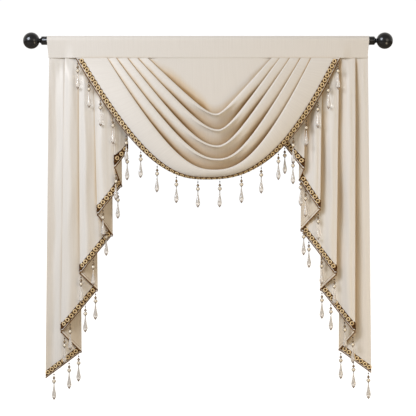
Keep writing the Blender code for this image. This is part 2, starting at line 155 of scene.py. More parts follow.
def makeThreadGroup():
    group, source, result = newTree(
        "satinThreads", "ShaderNodeTree",
        (("Vector", "NodeSocketVector", None), ("Thread Pitch", "NodeSocketFloat", weave["pitch"]),
         ("Slub Length", "NodeSocketFloat", weave["slubLength"])),
        (("Height", "NodeSocketFloat"), ("Tone", "NodeSocketFloat")))
    place = addNode(group, "ShaderNodeSeparateXYZ", {0: source["Vector"]}).outputs
    across = mathNode(group, "DIVIDE", place[0], source["Thread Pitch"])
    along = mathNode(group, "DIVIDE", place[1], source["Thread Pitch"])
    leaning = mathNode(group, "MULTIPLY_ADD", across, weave["floatLean"], along)
    ribs = mathNode(group, "SINE", mathNode(group, "MULTIPLY", across, 2.0 * math.pi))
    floatTurns = mathNode(group, "MULTIPLY", leaning, 2.0 * math.pi / weave["floatPitch"])
    floats = mathNode(group, "SINE", floatTurns)
    height = mathNode(group, "MULTIPLY_ADD", ribs, weave["ribHeight"],
                      mathNode(group, "MULTIPLY", floats, weave["floatHeight"]))
    stretched = addNode(group, "ShaderNodeCombineXYZ", {
        0: mathNode(group, "DIVIDE", place[0], weave["slubWidth"]),
        1: mathNode(group, "DIVIDE", place[1], source["Slub Length"])})
    slubs = noise(group, stretched.outputs[0], 1.0, weave["slubDetail"])
    feed(group, result, {"Height": height, "Tone": slubs})
    return group


threadGroup = makeThreadGroup()


def wovenThreads(tree, sizes):
    uv = addNode(tree, "ShaderNodeUVMap", uv_map="cloth").outputs[0]
    return addNode(tree, "ShaderNodeGroup", {"Vector": uv, **sizes}, node_tree=threadGroup).outputs


satin = {
    # tones: pale, middle and deep, from the open cloth to the inside of the folds; middle and deep are
    # painted shade, mixed in by the painted fold shade
    "face": ((0.80, 0.764, 0.708, 1.0), (0.73, 0.60, 0.43, 1.0), (0.46, 0.29, 0.13, 1.0)),
    "reverse": ((0.70, 0.62, 0.51, 1.0), (0.56, 0.43, 0.28, 1.0), (0.30, 0.19, 0.095, 1.0)),
    "turned": (0.76, 0.685, 0.58, 1.0),  # the narrow hem that is turned over on the reverse
    # how high the turned hem reaches, and the width of the painted shadow line in the deep tone just above it
    "hemTurned": 0.008,
    "hemShadow": 0.0018,
    "streakTone": 0.88,
    "streakFrom": (0.35, 0.7),
    "streakMost": 0.12,
    "roughness": (0.36, 0.48),
    "threads": {"Thread Pitch": 0.0011, "Slub Length": 0.16},
    "weaveRelief": (0.15, 0.00012),
    "gloss": {"Sheen Weight": 0.25, "Sheen Roughness": 0.35, "Sheen Tint": (1.0, 0.93, 0.82, 1.0),
              "Specular IOR Level": 0.5, "Specular Tint": (1.0, 0.90, 0.78, 1.0)},
}


def makeSatin(name, tones, turned=None):
    material, tree, shader = newMaterial(name)
    pale, middle, deep = tones
    threads = wovenThreads(tree, satin["threads"])
    # painted shade: the fold shade turns the colour from pale through middle to deep golden-brown inside the
    # folds
    shade = attribute(tree, "foldShade")
    base = mixColour(tree, ranged(tree, shade, (0.0, 0.5)), pale, middle)
    base = mixColour(tree, ranged(tree, shade, (0.5, 1.0)), base, deep)
    darker = tuple(satin["streakTone"] * value for value in pale[:3]) + (1.0,)
    streak = ranged(tree, threads["Tone"], satin["streakFrom"], (0.0, satin["streakMost"]))
    base = mixColour(tree, streak, base, darker, "MULTIPLY")
    # the turned hem's own colour, with a thin painted shadow line beside it
    if turned is not None:
        edge = attribute(tree, "fromHem")
        for reach, colour in ((satin["hemTurned"] + satin["hemShadow"], deep), (satin["hemTurned"], turned)):
            base = mixColour(tree, mathNode(tree, "LESS_THAN", edge, reach), base, colour)
    feed(tree, shader, {"Base Color": base,
                        "Roughness": ranged(tree, threads["Tone"], (0.0, 1.0), satin["roughness"]),
                        "Normal": relief(tree, threads["Height"], *satin["weaveRelief"]),
                        **satin["gloss"]})
    return material


satinFace = makeSatin("satinFace", satin["face"])
satinReverse = makeSatin("satinReverse", satin["reverse"], satin["turned"])

yarns = {
    # colour on the crests and in the grooves of the plies, the darker groove colour being painted shade,
    # length of one twist, and the shine
    "goldYarn": ((1.0, 0.87, 0.56, 1.0), (0.80, 0.50, 0.20, 1.0), 0.0035,
                 {"Roughness": 0.32, "Metallic": 0.1, "Specular IOR Level": 0.6}),
    "brownYarn": ((0.27, 0.138, 0.044, 1.0), (0.13, 0.060, 0.018, 1.0), 0.003,
                  {"Roughness": 0.9, "Metallic": 0.0, "Specular IOR Level": 0.0}),
}


yarnLook = {"plies": 2, "relief": (0.6, 0.0004)}


def makeYarn(name):
    material, tree, shader = newMaterial(name)
    light, dark, twist, shine = yarns[name]
    turns = mathNode(tree, "DIVIDE", attribute(tree, "along"), twist)
    turns = mathNode(tree, "ADD", turns, attribute(tree, "around"))
    plies = mathNode(tree, "SINE", mathNode(tree, "MULTIPLY", turns, 2.0 * math.pi * yarnLook["plies"]))
    # painted shade: the grooves between the plies take the dark colour
    feed(tree, shader, {"Base Color": mixColour(tree, ranged(tree, plies, (-1.0, 1.0)), dark, light),
                        "Normal": relief(tree, plies, *yarnLook["relief"]), **shine})
    return material


goldYarn = makeYarn("goldYarn")
brownYarn = makeYarn("brownYarn")

# the ribbon is dark brown, and the low places of its weave are painted darker still, as painted shade
ribbon = {"low": (0.045, 0.019, 0.008, 1.0), "high": (0.105, 0.045, 0.018, 1.0), "pitch": 0.0012,
          "relief": (0.5, 0.0003), "shine": {"Roughness": 0.9, "Specular IOR Level": 0.0}}


def makeRibbon():
    material, tree, shader = newMaterial("braidGround")
    height = wovenThreads(tree, {"Thread Pitch": ribbon["pitch"]})["Height"]
    colour = mixColour(tree, ranged(tree, height, (-1.0, 1.0)), ribbon["low"], ribbon["high"])
    feed(tree, shader, {"Base Color": colour, "Normal": relief(tree, height, *ribbon["relief"]),
                        **ribbon["shine"]})
    return material


braidGround = makeRibbon()

beadFinishes = {
    # light and dark body, rim (a painted edge shade, by viewing angle), then where the rim starts, roughness,
    # metallic, transmission and coat
    "crystal": (((0.96, 0.93, 0.89, 1.0), (0.90, 0.86, 0.81, 1.0), (0.26, 0.19, 0.14, 1.0)),
                (0.42, 0.06, 0.0, 0.62, 0.2)),
    "lustreBead": (((0.98, 0.92, 0.80, 1.0), (0.86, 0.75, 0.56, 1.0), (0.09, 0.04, 0.018, 1.0)),
                   (0.2, 0.2, 0.0, 0.0, 0.3)),
    "goldBead": (((0.40, 0.28, 0.15, 1.0), (0.20, 0.13, 0.07, 1.0), (0.08, 0.045, 0.025, 1.0)),
                 (0.2, 0.25, 0.4, 0.0, 0.5)),
    "seedBead": (((0.05, 0.022, 0.015, 1.0), (0.02, 0.009, 0.006, 1.0), (0.01, 0.005, 0.004, 1.0)),
                 (0.2, 0.35, 0.0, 0.0, 0.1)),
    "amberTip": (((0.60, 0.50, 0.42, 1.0), (0.50, 0.40, 0.32, 1.0), (0.05, 0.03, 0.02, 1.0)),
                 (0.2, 0.1, 0.0, 0.3, 0.15)),
}
beadLook = {"grain": 90.0, "edgeShadeReach": 0.4, "coatRoughness": 0.05, "glassIor": 1.5,
            "leastLight": 0.5, "lightGain": 1.2}


def makeBead(name):
    material, tree, shader = newMaterial(name)
    (light, dark, rim), (edgeShadeStart, roughness, metallic, transmission, coat) = beadFinishes[name]
    body = mixColour(tree, grained(tree, beadLook["grain"], 1.0), dark, light)
    # painted shade: the rim colour darkens the bead where it is seen side-on
    edge = addNode(tree, "ShaderNodeLayerWeight", {"Blend": 0.5}).outputs["Facing"]
    level = ranged(tree, edge, (edgeShadeStart, edgeShadeStart + beadLook["edgeShadeReach"]))
    feed(tree, shader, {"Base Color": mixColour(tree, level, body, rim), "Roughness": roughness,
                        "Metallic": metallic, "Transmission Weight": transmission, "Coat Weight": coat,
                        "Coat Roughness": beadLook["coatRoughness"], "IOR": beadLook["glassIor"]})
    # part of the light passes, so that the bead's shadow on the cloth stays pale
    shadow = addNode(tree, "ShaderNodeLightPath").outputs["Is Shadow Ray"]
    passed = max(beadLook["leastLight"], beadLook["lightGain"] * transmission)
    blend = addNode(tree, "ShaderNodeMixShader", {
        0: mathNode(tree, "MULTIPLY", shadow, passed), 1: shader.outputs[0],
        2: addNode(tree, "ShaderNodeBsdfTransparent").outputs[0]})
    feed(tree, tree.nodes["Material Output"], {"Surface": blend.outputs[0]})
    return material


beadGlass = {name: makeBead(name) for name in beadFinishes}

enamel = {"low": (0.004, 0.004, 0.0045, 1.0), "high": (0.010, 0.010, 0.011, 1.0), "grain": 600.0,
          "relief": (0.05, 0.0002), "shine": {"Roughness": 0.22, "Coat Weight": 0.4, "Coat Roughness": 0.08}}


def makeEnamel():
    material, tree, shader = newMaterial("blackEnamel")
    grain = grained(tree, enamel["grain"], 2.0)
    feed(tree, shader, {"Base Color": mixColour(tree, grain, enamel["low"], enamel["high"]),
                        "Normal": relief(tree, grain, *enamel["relief"]), **enamel["shine"]})
    return material


blackEnamel = makeEnamel()
print("materials made:", len(bpy.data.materials))


def gridNormals(points):
    down = np.gradient(points, axis=0)
    along = np.gradient(points, axis=1)
    normals = np.cross(down, along)
    return normals / np.maximum(np.linalg.norm(normals, axis=-1, keepdims=True), 1e-9)


def placed(points):
    points = np.asarray(points, dtype=float)
    return np.stack((points[..., 0], -points[..., 1], points[..., 2]), axis=-1) * mm


clothSharp = math.radians(60.0)


def clothSheet(name, points, thickness, faceMaterial, reverseMaterial, flip=False):
    # two layers, half a thickness to each side of the grid, joined all the way round
    points = placed(points)
    rows, columns = points.shape[:2]
    normals = gridNormals(points)
    if flip:
        normals = -normals
    half = 0.5 * thickness * mm
    layers = (points + half * normals, points - half * normals)
    count = rows * columns
    index = np.arange(count).reshape(rows, columns)
    a, b, c, d = index[:-1, :-1], index[1:, :-1], index[1:, 1:], index[:-1, 1:]
    front = np.stack((a, b, c, d) if not flip else (a, d, c, b), axis=-1).reshape(-1, 4)
    back = front[:, ::-1] + count
    ring = np.concatenate((index[0, :], index[1:, -1], index[-1, -2::-1], index[-2:0:-1, 0]))
    after = np.roll(ring, -1)
    rim = np.stack((ring, after, after + count, ring + count), axis=-1)
    if flip:
        rim = rim[:, ::-1]
    faces = np.concatenate((front, back, rim))
    mesh = bpy.data.meshes.new(name)
    mesh.from_pydata(np.concatenate([layer.reshape(-1, 3) for layer in layers]).tolist(), [], faces.tolist())
    mesh.materials.append(faceMaterial)
    mesh.materials.append(reverseMaterial)
    which = np.zeros(len(faces), dtype=np.int32)
    which[len(front):len(front) + len(back)] = 1
    mesh.polygons.foreach_set("material_index", which)
    run = np.cumsum(np.linalg.norm(np.diff(points, axis=1), axis=-1), axis=1)
    fall = np.cumsum(np.linalg.norm(np.diff(points, axis=0), axis=-1), axis=0)
    across = np.concatenate((np.zeros((rows, 1)), run), axis=1).mean(axis=0, keepdims=True)
    down = np.concatenate((np.zeros((1, columns)), fall), axis=0)
    flat = np.stack((np.broadcast_to(across, (rows, columns)), down), axis=-1).reshape(-1, 2)
    uv = mesh.uv_layers.new(name="cloth")
    loops = np.zeros(len(mesh.loops), dtype=np.int32)
    mesh.loops.foreach_get("vertex_index", loops)
    uv.data.foreach_set("uv", flat[loops % count].astype(np.float32).ravel())
    store(mesh, "fromHem", "FLOAT", [down[-1:] - down] * 2)
    mesh.shade_smooth()
    mesh.set_sharp_from_angle(angle=clothSharp)
    piece = linked(name, mesh)
    piece["columns"] = columns
    return piece


def through(points, steps):
    # a smooth curve through all the points
    points = np.asarray(points, dtype=float)
    padded = np.concatenate((2.0 * points[:1] - points[1:2], points, 2.0 * points[-1:] - points[-2:-1]))
    spots = []
    for number in range(len(points) - 1):
        p0, p1, p2, p3 = padded[number:number + 4]
        t1 = np.linalg.norm(p1 - p0) ** 0.5 + 1e-9
        t2 = t1 + np.linalg.norm(p2 - p1) ** 0.5 + 1e-9
        t3 = t2 + np.linalg.norm(p3 - p2) ** 0.5 + 1e-9
        for step in range(steps):
            t = t1 + (t2 - t1) * step / steps
            a1 = p0 + (p1 - p0) * (t / t1)
            a2 = p1 + (p2 - p1) * ((t - t1) / (t2 - t1))
            a3 = p2 + (p3 - p2) * ((t - t2) / (t3 - t2))
            b1 = a1 + (a2 - a1) * (t / t2)
            b2 = a2 + (a3 - a2) * ((t - t1) / (t3 - t1))
            spots.append(b1 + (b2 - b1) * ((t - t1) / (t2 - t1)))
    spots.append(points[-1])
    return np.array(spots)


def turnedShape(name, profile, sides, place, material, sharp=None):
    # profile: distance along the axis and radius; an end of radius 0 closes in a point, the others in a disc
    model = bmesh.new()
    rings = []
    for distance, radius in profile:
        count = sides if radius > 0.0 else 1
        angles = [2.0 * math.pi * side / sides for side in range(count)]
        rings.append([model.verts.new(place(distance, radius * math.cos(angle), radius * math.sin(angle)))
                      for angle in angles])
    for first, second in zip(rings, rings[1:]):
        for side in range(sides):
            after = (side + 1) % sides
            corners = dict.fromkeys((first[side % len(first)], first[after % len(first)],
                                     second[after % len(second)], second[side % len(second)]))
            if len(corners) > 2:
                model.faces.new(list(corners))
    for ring in (rings[0], rings[-1]):
        if len(ring) > 2:
            model.faces.new(ring)
    bmesh.ops.recalc_face_normals(model, faces=model.faces)
    mesh = bpy.data.meshes.new(name)
    model.to_mesh(mesh)
    model.free()
    mesh.materials.append(material)
    mesh.shade_smooth()
    if sharp is not None:
        mesh.set_sharp_from_angle(angle=math.radians(sharp))
    return linked(name, mesh)


rodSizes = {"radius": 16.0, "halfLength": 618.0, "edge": 0.8, "gap": 0.3, "sides": 64, "sharp": 50.0}
finial = {"collar": (2.2, 2.9, 1.2), "waist": (5.5, 0.66), "neck": (9.0, 7.8), "waistSteps": 5,
          "ball": 31.0, "ballDistance": 41.0, "ballStart": 1.1, "ballEnd": 0.985, "ballSteps": 30}


def finialProfile():
    # a collar against the rod's end, a waisted neck and the ball
    radius = rodSizes["radius"]
    ball = finial["ball"]
    collarEnd, stepEnd, step = finial["collar"]
    waistDistance, waistShare = finial["waist"]
    profile = [(rodSizes["gap"], radius - rodSizes["edge"]), (rodSizes["gap"] + rodSizes["edge"], radius),
               (collarEnd, radius)]
    waist = ((stepEnd, radius - step), (waistDistance, waistShare * radius), finial["neck"])
    profile += [tuple(spot) for spot in through(waist, finial["waistSteps"])]
    first = math.asin(finial["ballStart"] * finial["neck"][1] / ball)
    for angle in np.linspace(first, finial["ballEnd"] * math.pi, finial["ballSteps"]):
        profile.append((finial["ballDistance"] - ball * math.cos(angle), ball * math.sin(angle)))
    return profile


def makeRod():
    half, radius, edge = rodSizes["halfLength"], rodSizes["radius"], rodSizes["edge"]
    tube = ((0.0, radius - edge), (edge, radius), (2.0 * half - edge, radius), (2.0 * half, radius - edge))
    ball = finialProfile()
    for name, node, profile, start, way in (("rod_tube", "rod", tube, -half, 1.0),
                                            ("finial_ball_left", "finial_left", ball, -half, -1.0),
                                            ("finial_ball_right", "finial_right", ball, half, 1.0)):
        def place(distance, across, up):
            return (start + way * distance) * mm, across * mm, up * mm

        piece = turnedShape(name, profile, rodSizes["sides"], place, blackEnamel, rodSizes["sharp"])
        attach(piece, "root")
        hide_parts(node)
    print("rod and finials made")


makeRod()

# the header is one band round the rod, and its seam stands further out over the swag than at its ends
header = {"halfTop": 600.0, "halfSeam": 594.0, "back": -3.1, "backBelly": ((-4.6, -57.0), (-10.5, -34.0)),
          "front": 17.4, "frontEnd": 11.3, "step": (500.0, 535.0), "columns": 241, "backSteps": 5,
          "turnSteps": 28, "frontSteps": 14, "cloth": 1.2}


def headerX(share, z):
    return share * mix((header["halfTop"], header["halfSeam"]), max(0.0, z / seamZ))


def headerFront(x):
    return mix((header["front"], header["frontEnd"]), smoothStep(abs(x), *header["step"]))


def headerGrid():
    radius = rodSizes["radius"] + rodSizes["gap"] + header["cloth"] / 2
    shares = np.linspace(-1.0, 1.0, header["columns"])
    back = through(((header["back"], seamZ), *header["backBelly"], (-radius, 0.0)), header["backSteps"])
    grid = [[(headerX(share, z), forward, z) for share in shares] for forward, z in back[:-1]]
    for angle in np.linspace(0.0, math.pi, header["turnSteps"] + 1):
        z = radius * math.sin(angle)
        grid.append([(headerX(share, z), -radius * math.cos(angle), z) for share in shares])
    for drop in np.linspace(0.0, 1.0, header["frontSteps"] + 1)[1:]:
        line = [headerX(share, seamZ * drop) for share in shares]
        grid.append([(x, mix((radius, headerFront(x)), drop), seamZ * drop) for x in line])
    return np.array(grid)


headerBand = clothSheet("header_band", headerGrid(), header["cloth"], satinFace, satinReverse)
print("header made:", len(headerBand.data.polygons), "faces")

swag = {
    # fold, hem and top: left and right end at the seam, lowest point across and down, how round each side is,
    # bow, and how far out the lowest point stands
    "folds": (
        (-225.0, 237.0, 30.0, -274.0, 0.16, 0.11, 1.01, 44.0),
        (-264.0, 268.0, 37.0, -333.0, 0.27, 0.22, 0.97, 56.0),
        (-302.0, 306.0, 34.0, -393.0, 0.31, 0.24, 1.01, 68.0),
        (-343.0, 346.0, 38.0, -442.0, 0.24, 0.27, 1.13, 81.0),
        (-376.0, 385.0, 24.0, -483.0, 0.27, 0.46, 1.22, 95.0),
    ),
    "top": (-214.0, 226.0, 20.0, seamZ, 0.2, 0.2, 1.0, 15.8),
    "hem": (-491.0, 490.0, -6.0, -515.0, 0.52, 1.45, 1.25, 62.0),
    "seamLip": 16.1,  # how far out the crests and the hem lie at the seam
    "seamHem": 15.6,
    # pairs: at the seam, and where the folds are open
    "overlap": (12.0, 17.0),
    "lipDepth": (5.0, 28.0),
    "bottomDepth": 24.0,
    "lipRound": (1.25, 5.5),
    "rollWidth": 9.0,
    "turnRound": (1.25, 4.0),
    "turnSteps": 6,
    "lipSteps": 12,
    "lipShares": (0.33, 0.67),
    "topWiden": 3.0,
    "swell": 0.8,
    "bandFall": (1.15, 0.55),
    "hemTurn": (90.0, 62.0),  # how far the lowest band rolls under, in the middle and at the sides
    "columns": 217,
    "crowding": 1.25,
    "bandSteps": 18,
    "lowSteps": 26,
    "cloth": 1.2,
    "tuckLean": 0.7,
    "tuckCorner": 4.0,
    # where along the half width, or how far open the folds are, each change of shape takes place
    "rollSpan": ((0.08, 0.4), (0.6, 1.0)),
    "hemSpan": (0.1, 0.65),
    "limbSpan": (0.1, 0.45),
    "fallSpan": (0.5, 1.0),
    "bottomSpan": (0.55, 1.0),
    "bandTurn": math.radians(75.0),
}


def crest(fold, t):
    leftX, rightX, lowX, lowZ, leftRound, rightRound, bow = fold[:7]
    sideX = rightX if t > 0.0 else leftX
    wide = rightRound if t > 0.0 else leftRound
    run = abs(t) ** bow
    rise = (math.hypot(wide, run) - wide) / (math.hypot(wide, 1.0) - wide)
    return np.array((lowX + (sideX - lowX) * abs(t), lowZ + (seamZ - lowZ) * rise))


def opening(t):
    return (1.0 - t * t) ** swag["swell"]


def beyond(inner, outer, distance):
    return inner + distance * unit(outer - inner)


def rollWidth(t):
    rise, fade = (smoothStep(abs(t), *span) for span in swag["rollSpan"])
    return mix(swag["lipRound"], opening(t)) + swag["rollWidth"] * rise * (1.0 - fade)


def lowestBand(t, share):
    wide = opening(t)
    end = crest(swag["hem"], t)
    start = beyond(crest(swag["folds"][-1], t), end, rollWidth(t))
    crestForward = mix((swag["seamLip"], swag["folds"][-1][-1]), wide)
    hemForward = mix((swag["seamHem"], swag["hem"][-1]), wide)
    turn = math.radians(mix(swag["hemTurn"], smoothStep(abs(t), *swag["hemSpan"])))
    angle = turn * share
    spot = start + (end - start) * math.sin(angle) / math.sin(turn)
    back = (1.0 - math.cos(angle)) / (1.0 - math.cos(turn))
    return np.array((spot[0], mix((crestForward, hemForward), back), spot[1]))


def bandShape(share, fall, limb):
    turned = (1.0 - np.cos(share * swag["bandTurn"])) / (1.0 - math.cos(swag["bandTurn"]))
    return mix((share ** fall, turned), limb)


def arc(steps):
    return np.radians(np.linspace(-90.0, 90.0, steps + 1))


def swagSection(t):
    # one line over all the folds, from the seam to the hem: band, turn under the next fold, lip, and so on
    wide = opening(t)
    limb = smoothStep(abs(t), *swag["limbSpan"])
    overlap, lip, turn = (mix(swag[key], wide) for key in ("overlap", "lipRound", "turnRound"))
    roll = rollWidth(t)
    fall = mix(swag["bandFall"], smoothStep(wide, *swag["fallSpan"]))
    lines = [crest(fold, t) for fold in (swag["top"], *swag["folds"], swag["hem"])]
    section = []
    bandStart = lines[0]
    seamForward = swag["seamLip"] - swag["lipDepth"][0]
    bandForward = mix((seamForward, swag["top"][-1]), min(1.0, swag["topWiden"] * wide))
    for number, fold in enumerate(swag["folds"], start=1):
        line, outer = lines[number], lines[number + 1]
        forward = mix((swag["seamLip"], fold[-1]), wide)
        depth = mix(swag["lipDepth"], wide)
        if number > 1:
            depth += swag["bottomDepth"] * smoothStep(wide, *swag["bottomSpan"])
        under = beyond(line, outer, overlap - turn)
        for share in np.linspace(0.0, 1.0, swag["bandSteps"] + 1)[:-1]:
            shape = share if number == 1 else bandShape(share, fall, limb)
            spot = bandStart + (under - bandStart) * share
            section.append((*spot, mix((bandForward, forward - depth), shape)))
        for angle in arc(swag["turnSteps"]):
            spot = beyond(line, outer, overlap - turn + turn * math.cos(angle))
            section.append((*spot, forward - depth + turn + turn * math.sin(angle)))
        for share in swag["lipShares"]:
            spot = beyond(line, outer, mix((overlap - turn, lip), share))
            section.append((*spot, mix((forward - depth + 2.0 * turn, forward - 2.0 * lip), share)))
        for angle in arc(swag["lipSteps"])[:-1]:
            reach = lip if angle < 0.0 else roll
            spot = beyond(line, outer, reach - reach * math.cos(angle))
            section.append((*spot, forward - lip + lip * math.sin(angle)))
        bandStart = beyond(line, outer, roll)
        bandForward = forward
    section = np.array(section)[:, (0, 2, 1)]
    lowest = [lowestBand(t, share) for share in np.linspace(0.0, 1.0, swag["lowSteps"] + 1)]
    return np.concatenate((section, lowest))


def swagColumns(count):
    shares = np.linspace(-1.0, 1.0, count)
    return np.sign(shares) * np.abs(shares) ** swag["crowding"]


def swagGrid():
    sections = [swagSection(t) for t in swagColumns(swag["columns"])]
    ends = []
    for section, side in ((sections[0], -1.0), (sections[-1], 1.0)):
        rise = tuckZ - seamZ
        ends.append(section + np.array((side * swag["tuckLean"] * rise, 0.0, rise)))
    sections = [ends[0], *sections, ends[1]]
    tops = [section[:1].copy() for section in sections]
    for top in tops:
        top[0, 2] = tuckZ
    tops[0][0, 0] += swag["tuckCorner"]
    tops[-1][0, 0] -= swag["tuckCorner"]
    grid = np.array([np.concatenate((top, section)) for top, section in zip(tops, sections)])
    return np.swapaxes(grid, 0, 1)


swagCloth = clothSheet("swag_cloth", swagGrid(), swag["cloth"], satinFace, satinReverse)
print("swag made:", len(swagCloth.data.polygons), "faces")

# how far each panel stands out in front of its own fold,
# from that fold (0) to the next one, which covers it (1)
leftOuter = ((0.0, 0.0), (0.10, -1.8), (0.22, -4.2), (0.34, -6.3), (0.46, -7.4), (0.54, -6.8), (0.66, -3.2),
             (0.80, 1.6), (0.92, 4.9), (1.0, 5.4))
leftRidge = ((0.0, 0.0), (0.10, 2.8), (0.28, 8.8), (0.40, 10.8), (0.50, 10.2), (0.68, 6.2), (0.85, 2.0),
             (1.0, 0.2))
leftBroad = ((0.0, 0.0), (0.10, 1.7), (0.20, 6.2), (0.30, 11.6), (0.37, 12.9), (0.45, 11.5), (0.62, 6.4),
             (0.82, 1.8), (1.0, 0.8))
leftInner = ((0.0, 0.0), (0.10, 1.0), (0.20, 3.5), (0.30, 7.2), (0.38, 8.2), (0.48, 7.0), (0.66, 4.0),
             (0.84, 0.8), (1.0, -3.0))
rightOuter = ((0.0, 0.0), (0.12, -0.7), (0.30, -1.6), (0.60, -5.0), (1.0, -11.0))
rightFold = ((0.0, 0.0), (0.03, 0.5), (0.11, -2.0), (0.20, -0.3), (0.30, -0.8), (0.40, -4.0), (0.52, -11.0),
             (0.68, -19.0), (0.84, -23.5), (1.0, -25.0))
tails = {
    # each turn of the cloth, from the outer edge: x at the seam and at the hem, z of the hem, how far forward
    # it lies under the header and in the open (share of the depth, and more), drops after it, panel after it
    "left": (
        (-592.0, -604.0, -1254.0, 0.66, (0.50, 0.0), (0.24, 0.66, 0.93), leftOuter),
        (-477.0, -472.0, -1157.0, 0.00, (0.00, 0.0), (0.83,), None),
        (-533.0, -546.0, -1083.0, 0.86, (0.50, 9.6), (0.25, 0.67, 0.96), leftRidge),
        (-418.0, -412.0, -926.0, 0.08, (0.08, 0.0), (0.95,), None),
        (-480.5, -476.0, -865.0, 0.86, (0.50, 15.8), (0.42,), leftBroad),
        (-358.0, -356.0, -721.0, 0.00, (0.00, 0.0), (0.37,), None),
        (-426.0, -411.0, -647.0, 0.90, (0.50, 21.6), (0.24, 0.84), leftInner),
        (-324.0, -321.0, -538.0, 0.12, (0.12, 0.0), (0.77,), None),
        (-354.0, -347.0, -471.0, 0.90, (0.50, 23.0), (0.92,), None),
        (-301.0, -298.0, -408.0, 0.30, (0.30, 0.0), (), None),
    ),
    "right": (
        (596.0, 607.0, -1234.0, 0.60, (0.60, 0.0), (0.09, 0.55, 0.95), rightOuter),
        (496.0, 488.0, -1150.0, 0.00, (0.00, 0.0), (0.86,), None),
        (549.0, 546.0, -1083.0, 1.00, (1.00, 0.0), (0.29, 0.70, 0.97), rightFold),
        (425.0, 419.0, -924.0, 0.05, (0.05, 0.0), (0.88,), None),
        (488.0, 477.0, -870.0, 1.00, (1.00, 0.0), (0.41, 0.78), rightFold),
        (354.0, 346.0, -702.0, 0.00, (0.00, 0.0), (0.13, 0.90), None),
        (425.0, 417.0, -628.0, 1.00, (1.00, 0.0), (0.70,), rightFold),
        (341.0, 339.0, -516.0, 0.55, (0.55, 0.0), (0.20,), None),
        (366.0, 357.0, -479.0, 1.00, (1.00, 0.0), (0.55, 0.96), None),
        (291.0, 283.0, -386.0, 0.60, (0.60, 0.0), (), None),
    ),
    "depth": (8.0, 36.0),  # of the pleats at the seam, and how much they gain as they open
    "openingDrop": 600.0,
    "earlyDepth": 7.0,  # and what they gain just below the seam, with the drops over which it comes and goes
    "earlyDrops": (70.0, 420.0),
    "seamForward": {0: 9.2, 2: 8.0},  # turns that stand out further right under the seam
    "reliefDepth": 36.0,
    "reliefPower": {"left": 0.4, "right": 1.0},
    "gather": (0.55, 19.0, 230.0),  # small gathers below the header: height, length and fade
    "ripples": ((1.0, 1.0, 0.012, 0.0), (0.6, 1.63, -0.017, 1.0)),  # height, fineness, lean and start of each
    "gatherStart": 25.0,
    "gatherLeft": 0.25,
    "liftFade": 60.0,
    "round": (1.3, 0.5),
    "turnReach": 0.04,
    # the hidden stretches stand this much further out, to leave room for the braid
    "room": {"left": 7.0, "right": 0.0},
    # the tails open below a slanted line, which follows the swag's edge
    "openFrom": 475.0,
    "openSlope": 1.35,
    "openRun": 80.0,
    "sway": (0.035, 310.0, 1.7),  # of the panels' relief: share, length, and start for each panel
    "swell": (0.18, 420.0, 2.1),
    "rows": 110,
    "stretchSteps": 25,
    "turnSteps": 8,
    "cloth": 1.2,
}


def pleatOpening(z):
    return 1.0 - math.exp(min(0.0, z - seamZ) / tails["openingDrop"])


def tailColumns(rows):
    # each column: its place from turn to turn, and on a turn its angle
    stretchSteps, turnSteps = tails["stretchSteps"], tails["turnSteps"]
    columns = [(0.0, None)]
    for row in range(len(rows) - 1):
        for step in range(1, stretchSteps + 1):
            columns.append((row + step / (stretchSteps + 1.0), None))
        if row + 2 == len(rows):
            columns.append((row + 1.0, None))
        else:
            for step in range(turnSteps + 1):
                columns.append((row + 1.0, -90.0 + 180.0 * step / turnSteps))
    return columns


def pleatDepth(z):
    drop = max(0.0, seamZ - z)
    rise, fade = tails["earlyDrops"]
    early = tails["earlyDepth"] * (1.0 - math.exp(-drop / rise)) * math.exp(-drop / fade)
    return tails["depth"][0] + tails["depth"][1] * pleatOpening(z) + early


def smoothCurve(pairs):
    keys, values = np.array(pairs).T
    return keys, values, np.gradient(values, keys)


def curveAt(curve, value):
    keys, values, slopes = curve
    number = min(max(int(np.searchsorted(keys, value)) - 1, 0), len(keys) - 2)
    run = keys[number + 1] - keys[number]
    t = min(max((value - keys[number]) / run, 0.0), 1.0)
    low, high = (1.0 + 2.0 * t) * (1.0 - t) ** 2, t * t * (3.0 - 2.0 * t)
    lean = run * (t * (1.0 - t) ** 2 * slopes[number] - t * t * (1.0 - t) * slopes[number + 1])
    return low * values[number] + high * values[number + 1] + lean


panels = [row[6] for side in ("left", "right") for row in tails[side] if row[6]]
panelCurves = {pairs: smoothCurve(pairs) for pairs in panels}


def foldX(row, z):
    return row[0] + (row[1] - row[0]) * (z - seamZ) / (row[2] - seamZ)


def openShare(x, z):
    edge = seamZ - tails["openSlope"] * max(0.0, tails["openFrom"] - abs(x))
    return smoothStep(edge - z, 0.0, tails["openRun"])


def gather(x, z):
    height, length, fade = tails["gather"]
    drop = max(0.0, seamZ - z)
    ripple = sum(size * math.sin(fineness * 2.0 * math.pi * x / length + lean * z + start)
                 for size, fineness, lean, start in tails["ripples"])
    start = 1.0 - math.exp(-drop / tails["gatherStart"])
    return height * ripple * start * (tails["gatherLeft"] + math.exp(-drop / fade))


def rowForwards(rows, number, z):
    row = rows[number]
    depth = pleatDepth(z)
    wanted = tails["seamForward"].get(number, row[3] * tails["depth"][0])
    lift = (wanted - row[3] * tails["depth"][0]) * (1.0 - smoothStep(seamZ - z, 0.0, tails["liftFade"]))
    return row[3] * depth + lift, row[4][0] * depth + row[4][1]


def turnRadius(rows, number, z):
    if number in (0, len(rows) - 1):
        return 0.0
    return tails["round"][0] + tails["round"][1] * pleatOpening(z)


def turnPoint(rows, number, angle, z):
    radius = turnRadius(rows, number, z)
    outward = math.copysign(1.0, rows[0][0]) * (-1.0 if number % 2 == 1 else 1.0)
    angle = math.radians(angle)
    x = foldX(rows[number], z) + outward * radius * (math.cos(angle) - 1.0)
    forward = mix(rowForwards(rows, number, z), openShare(x, z)) + gather(x, z)
    return np.array((x, forward + radius * math.sin(angle), z))


def stretchEnds(rows, number, z, place):
    # how far forward a stretch starts and ends: under the header (place 0) or in the open (place 1)
    return [rowForwards(rows, number + step, z)[place] + way * turnRadius(rows, number + step, z)
            for step, way in ((0, 1.0), (1, -1.0))]


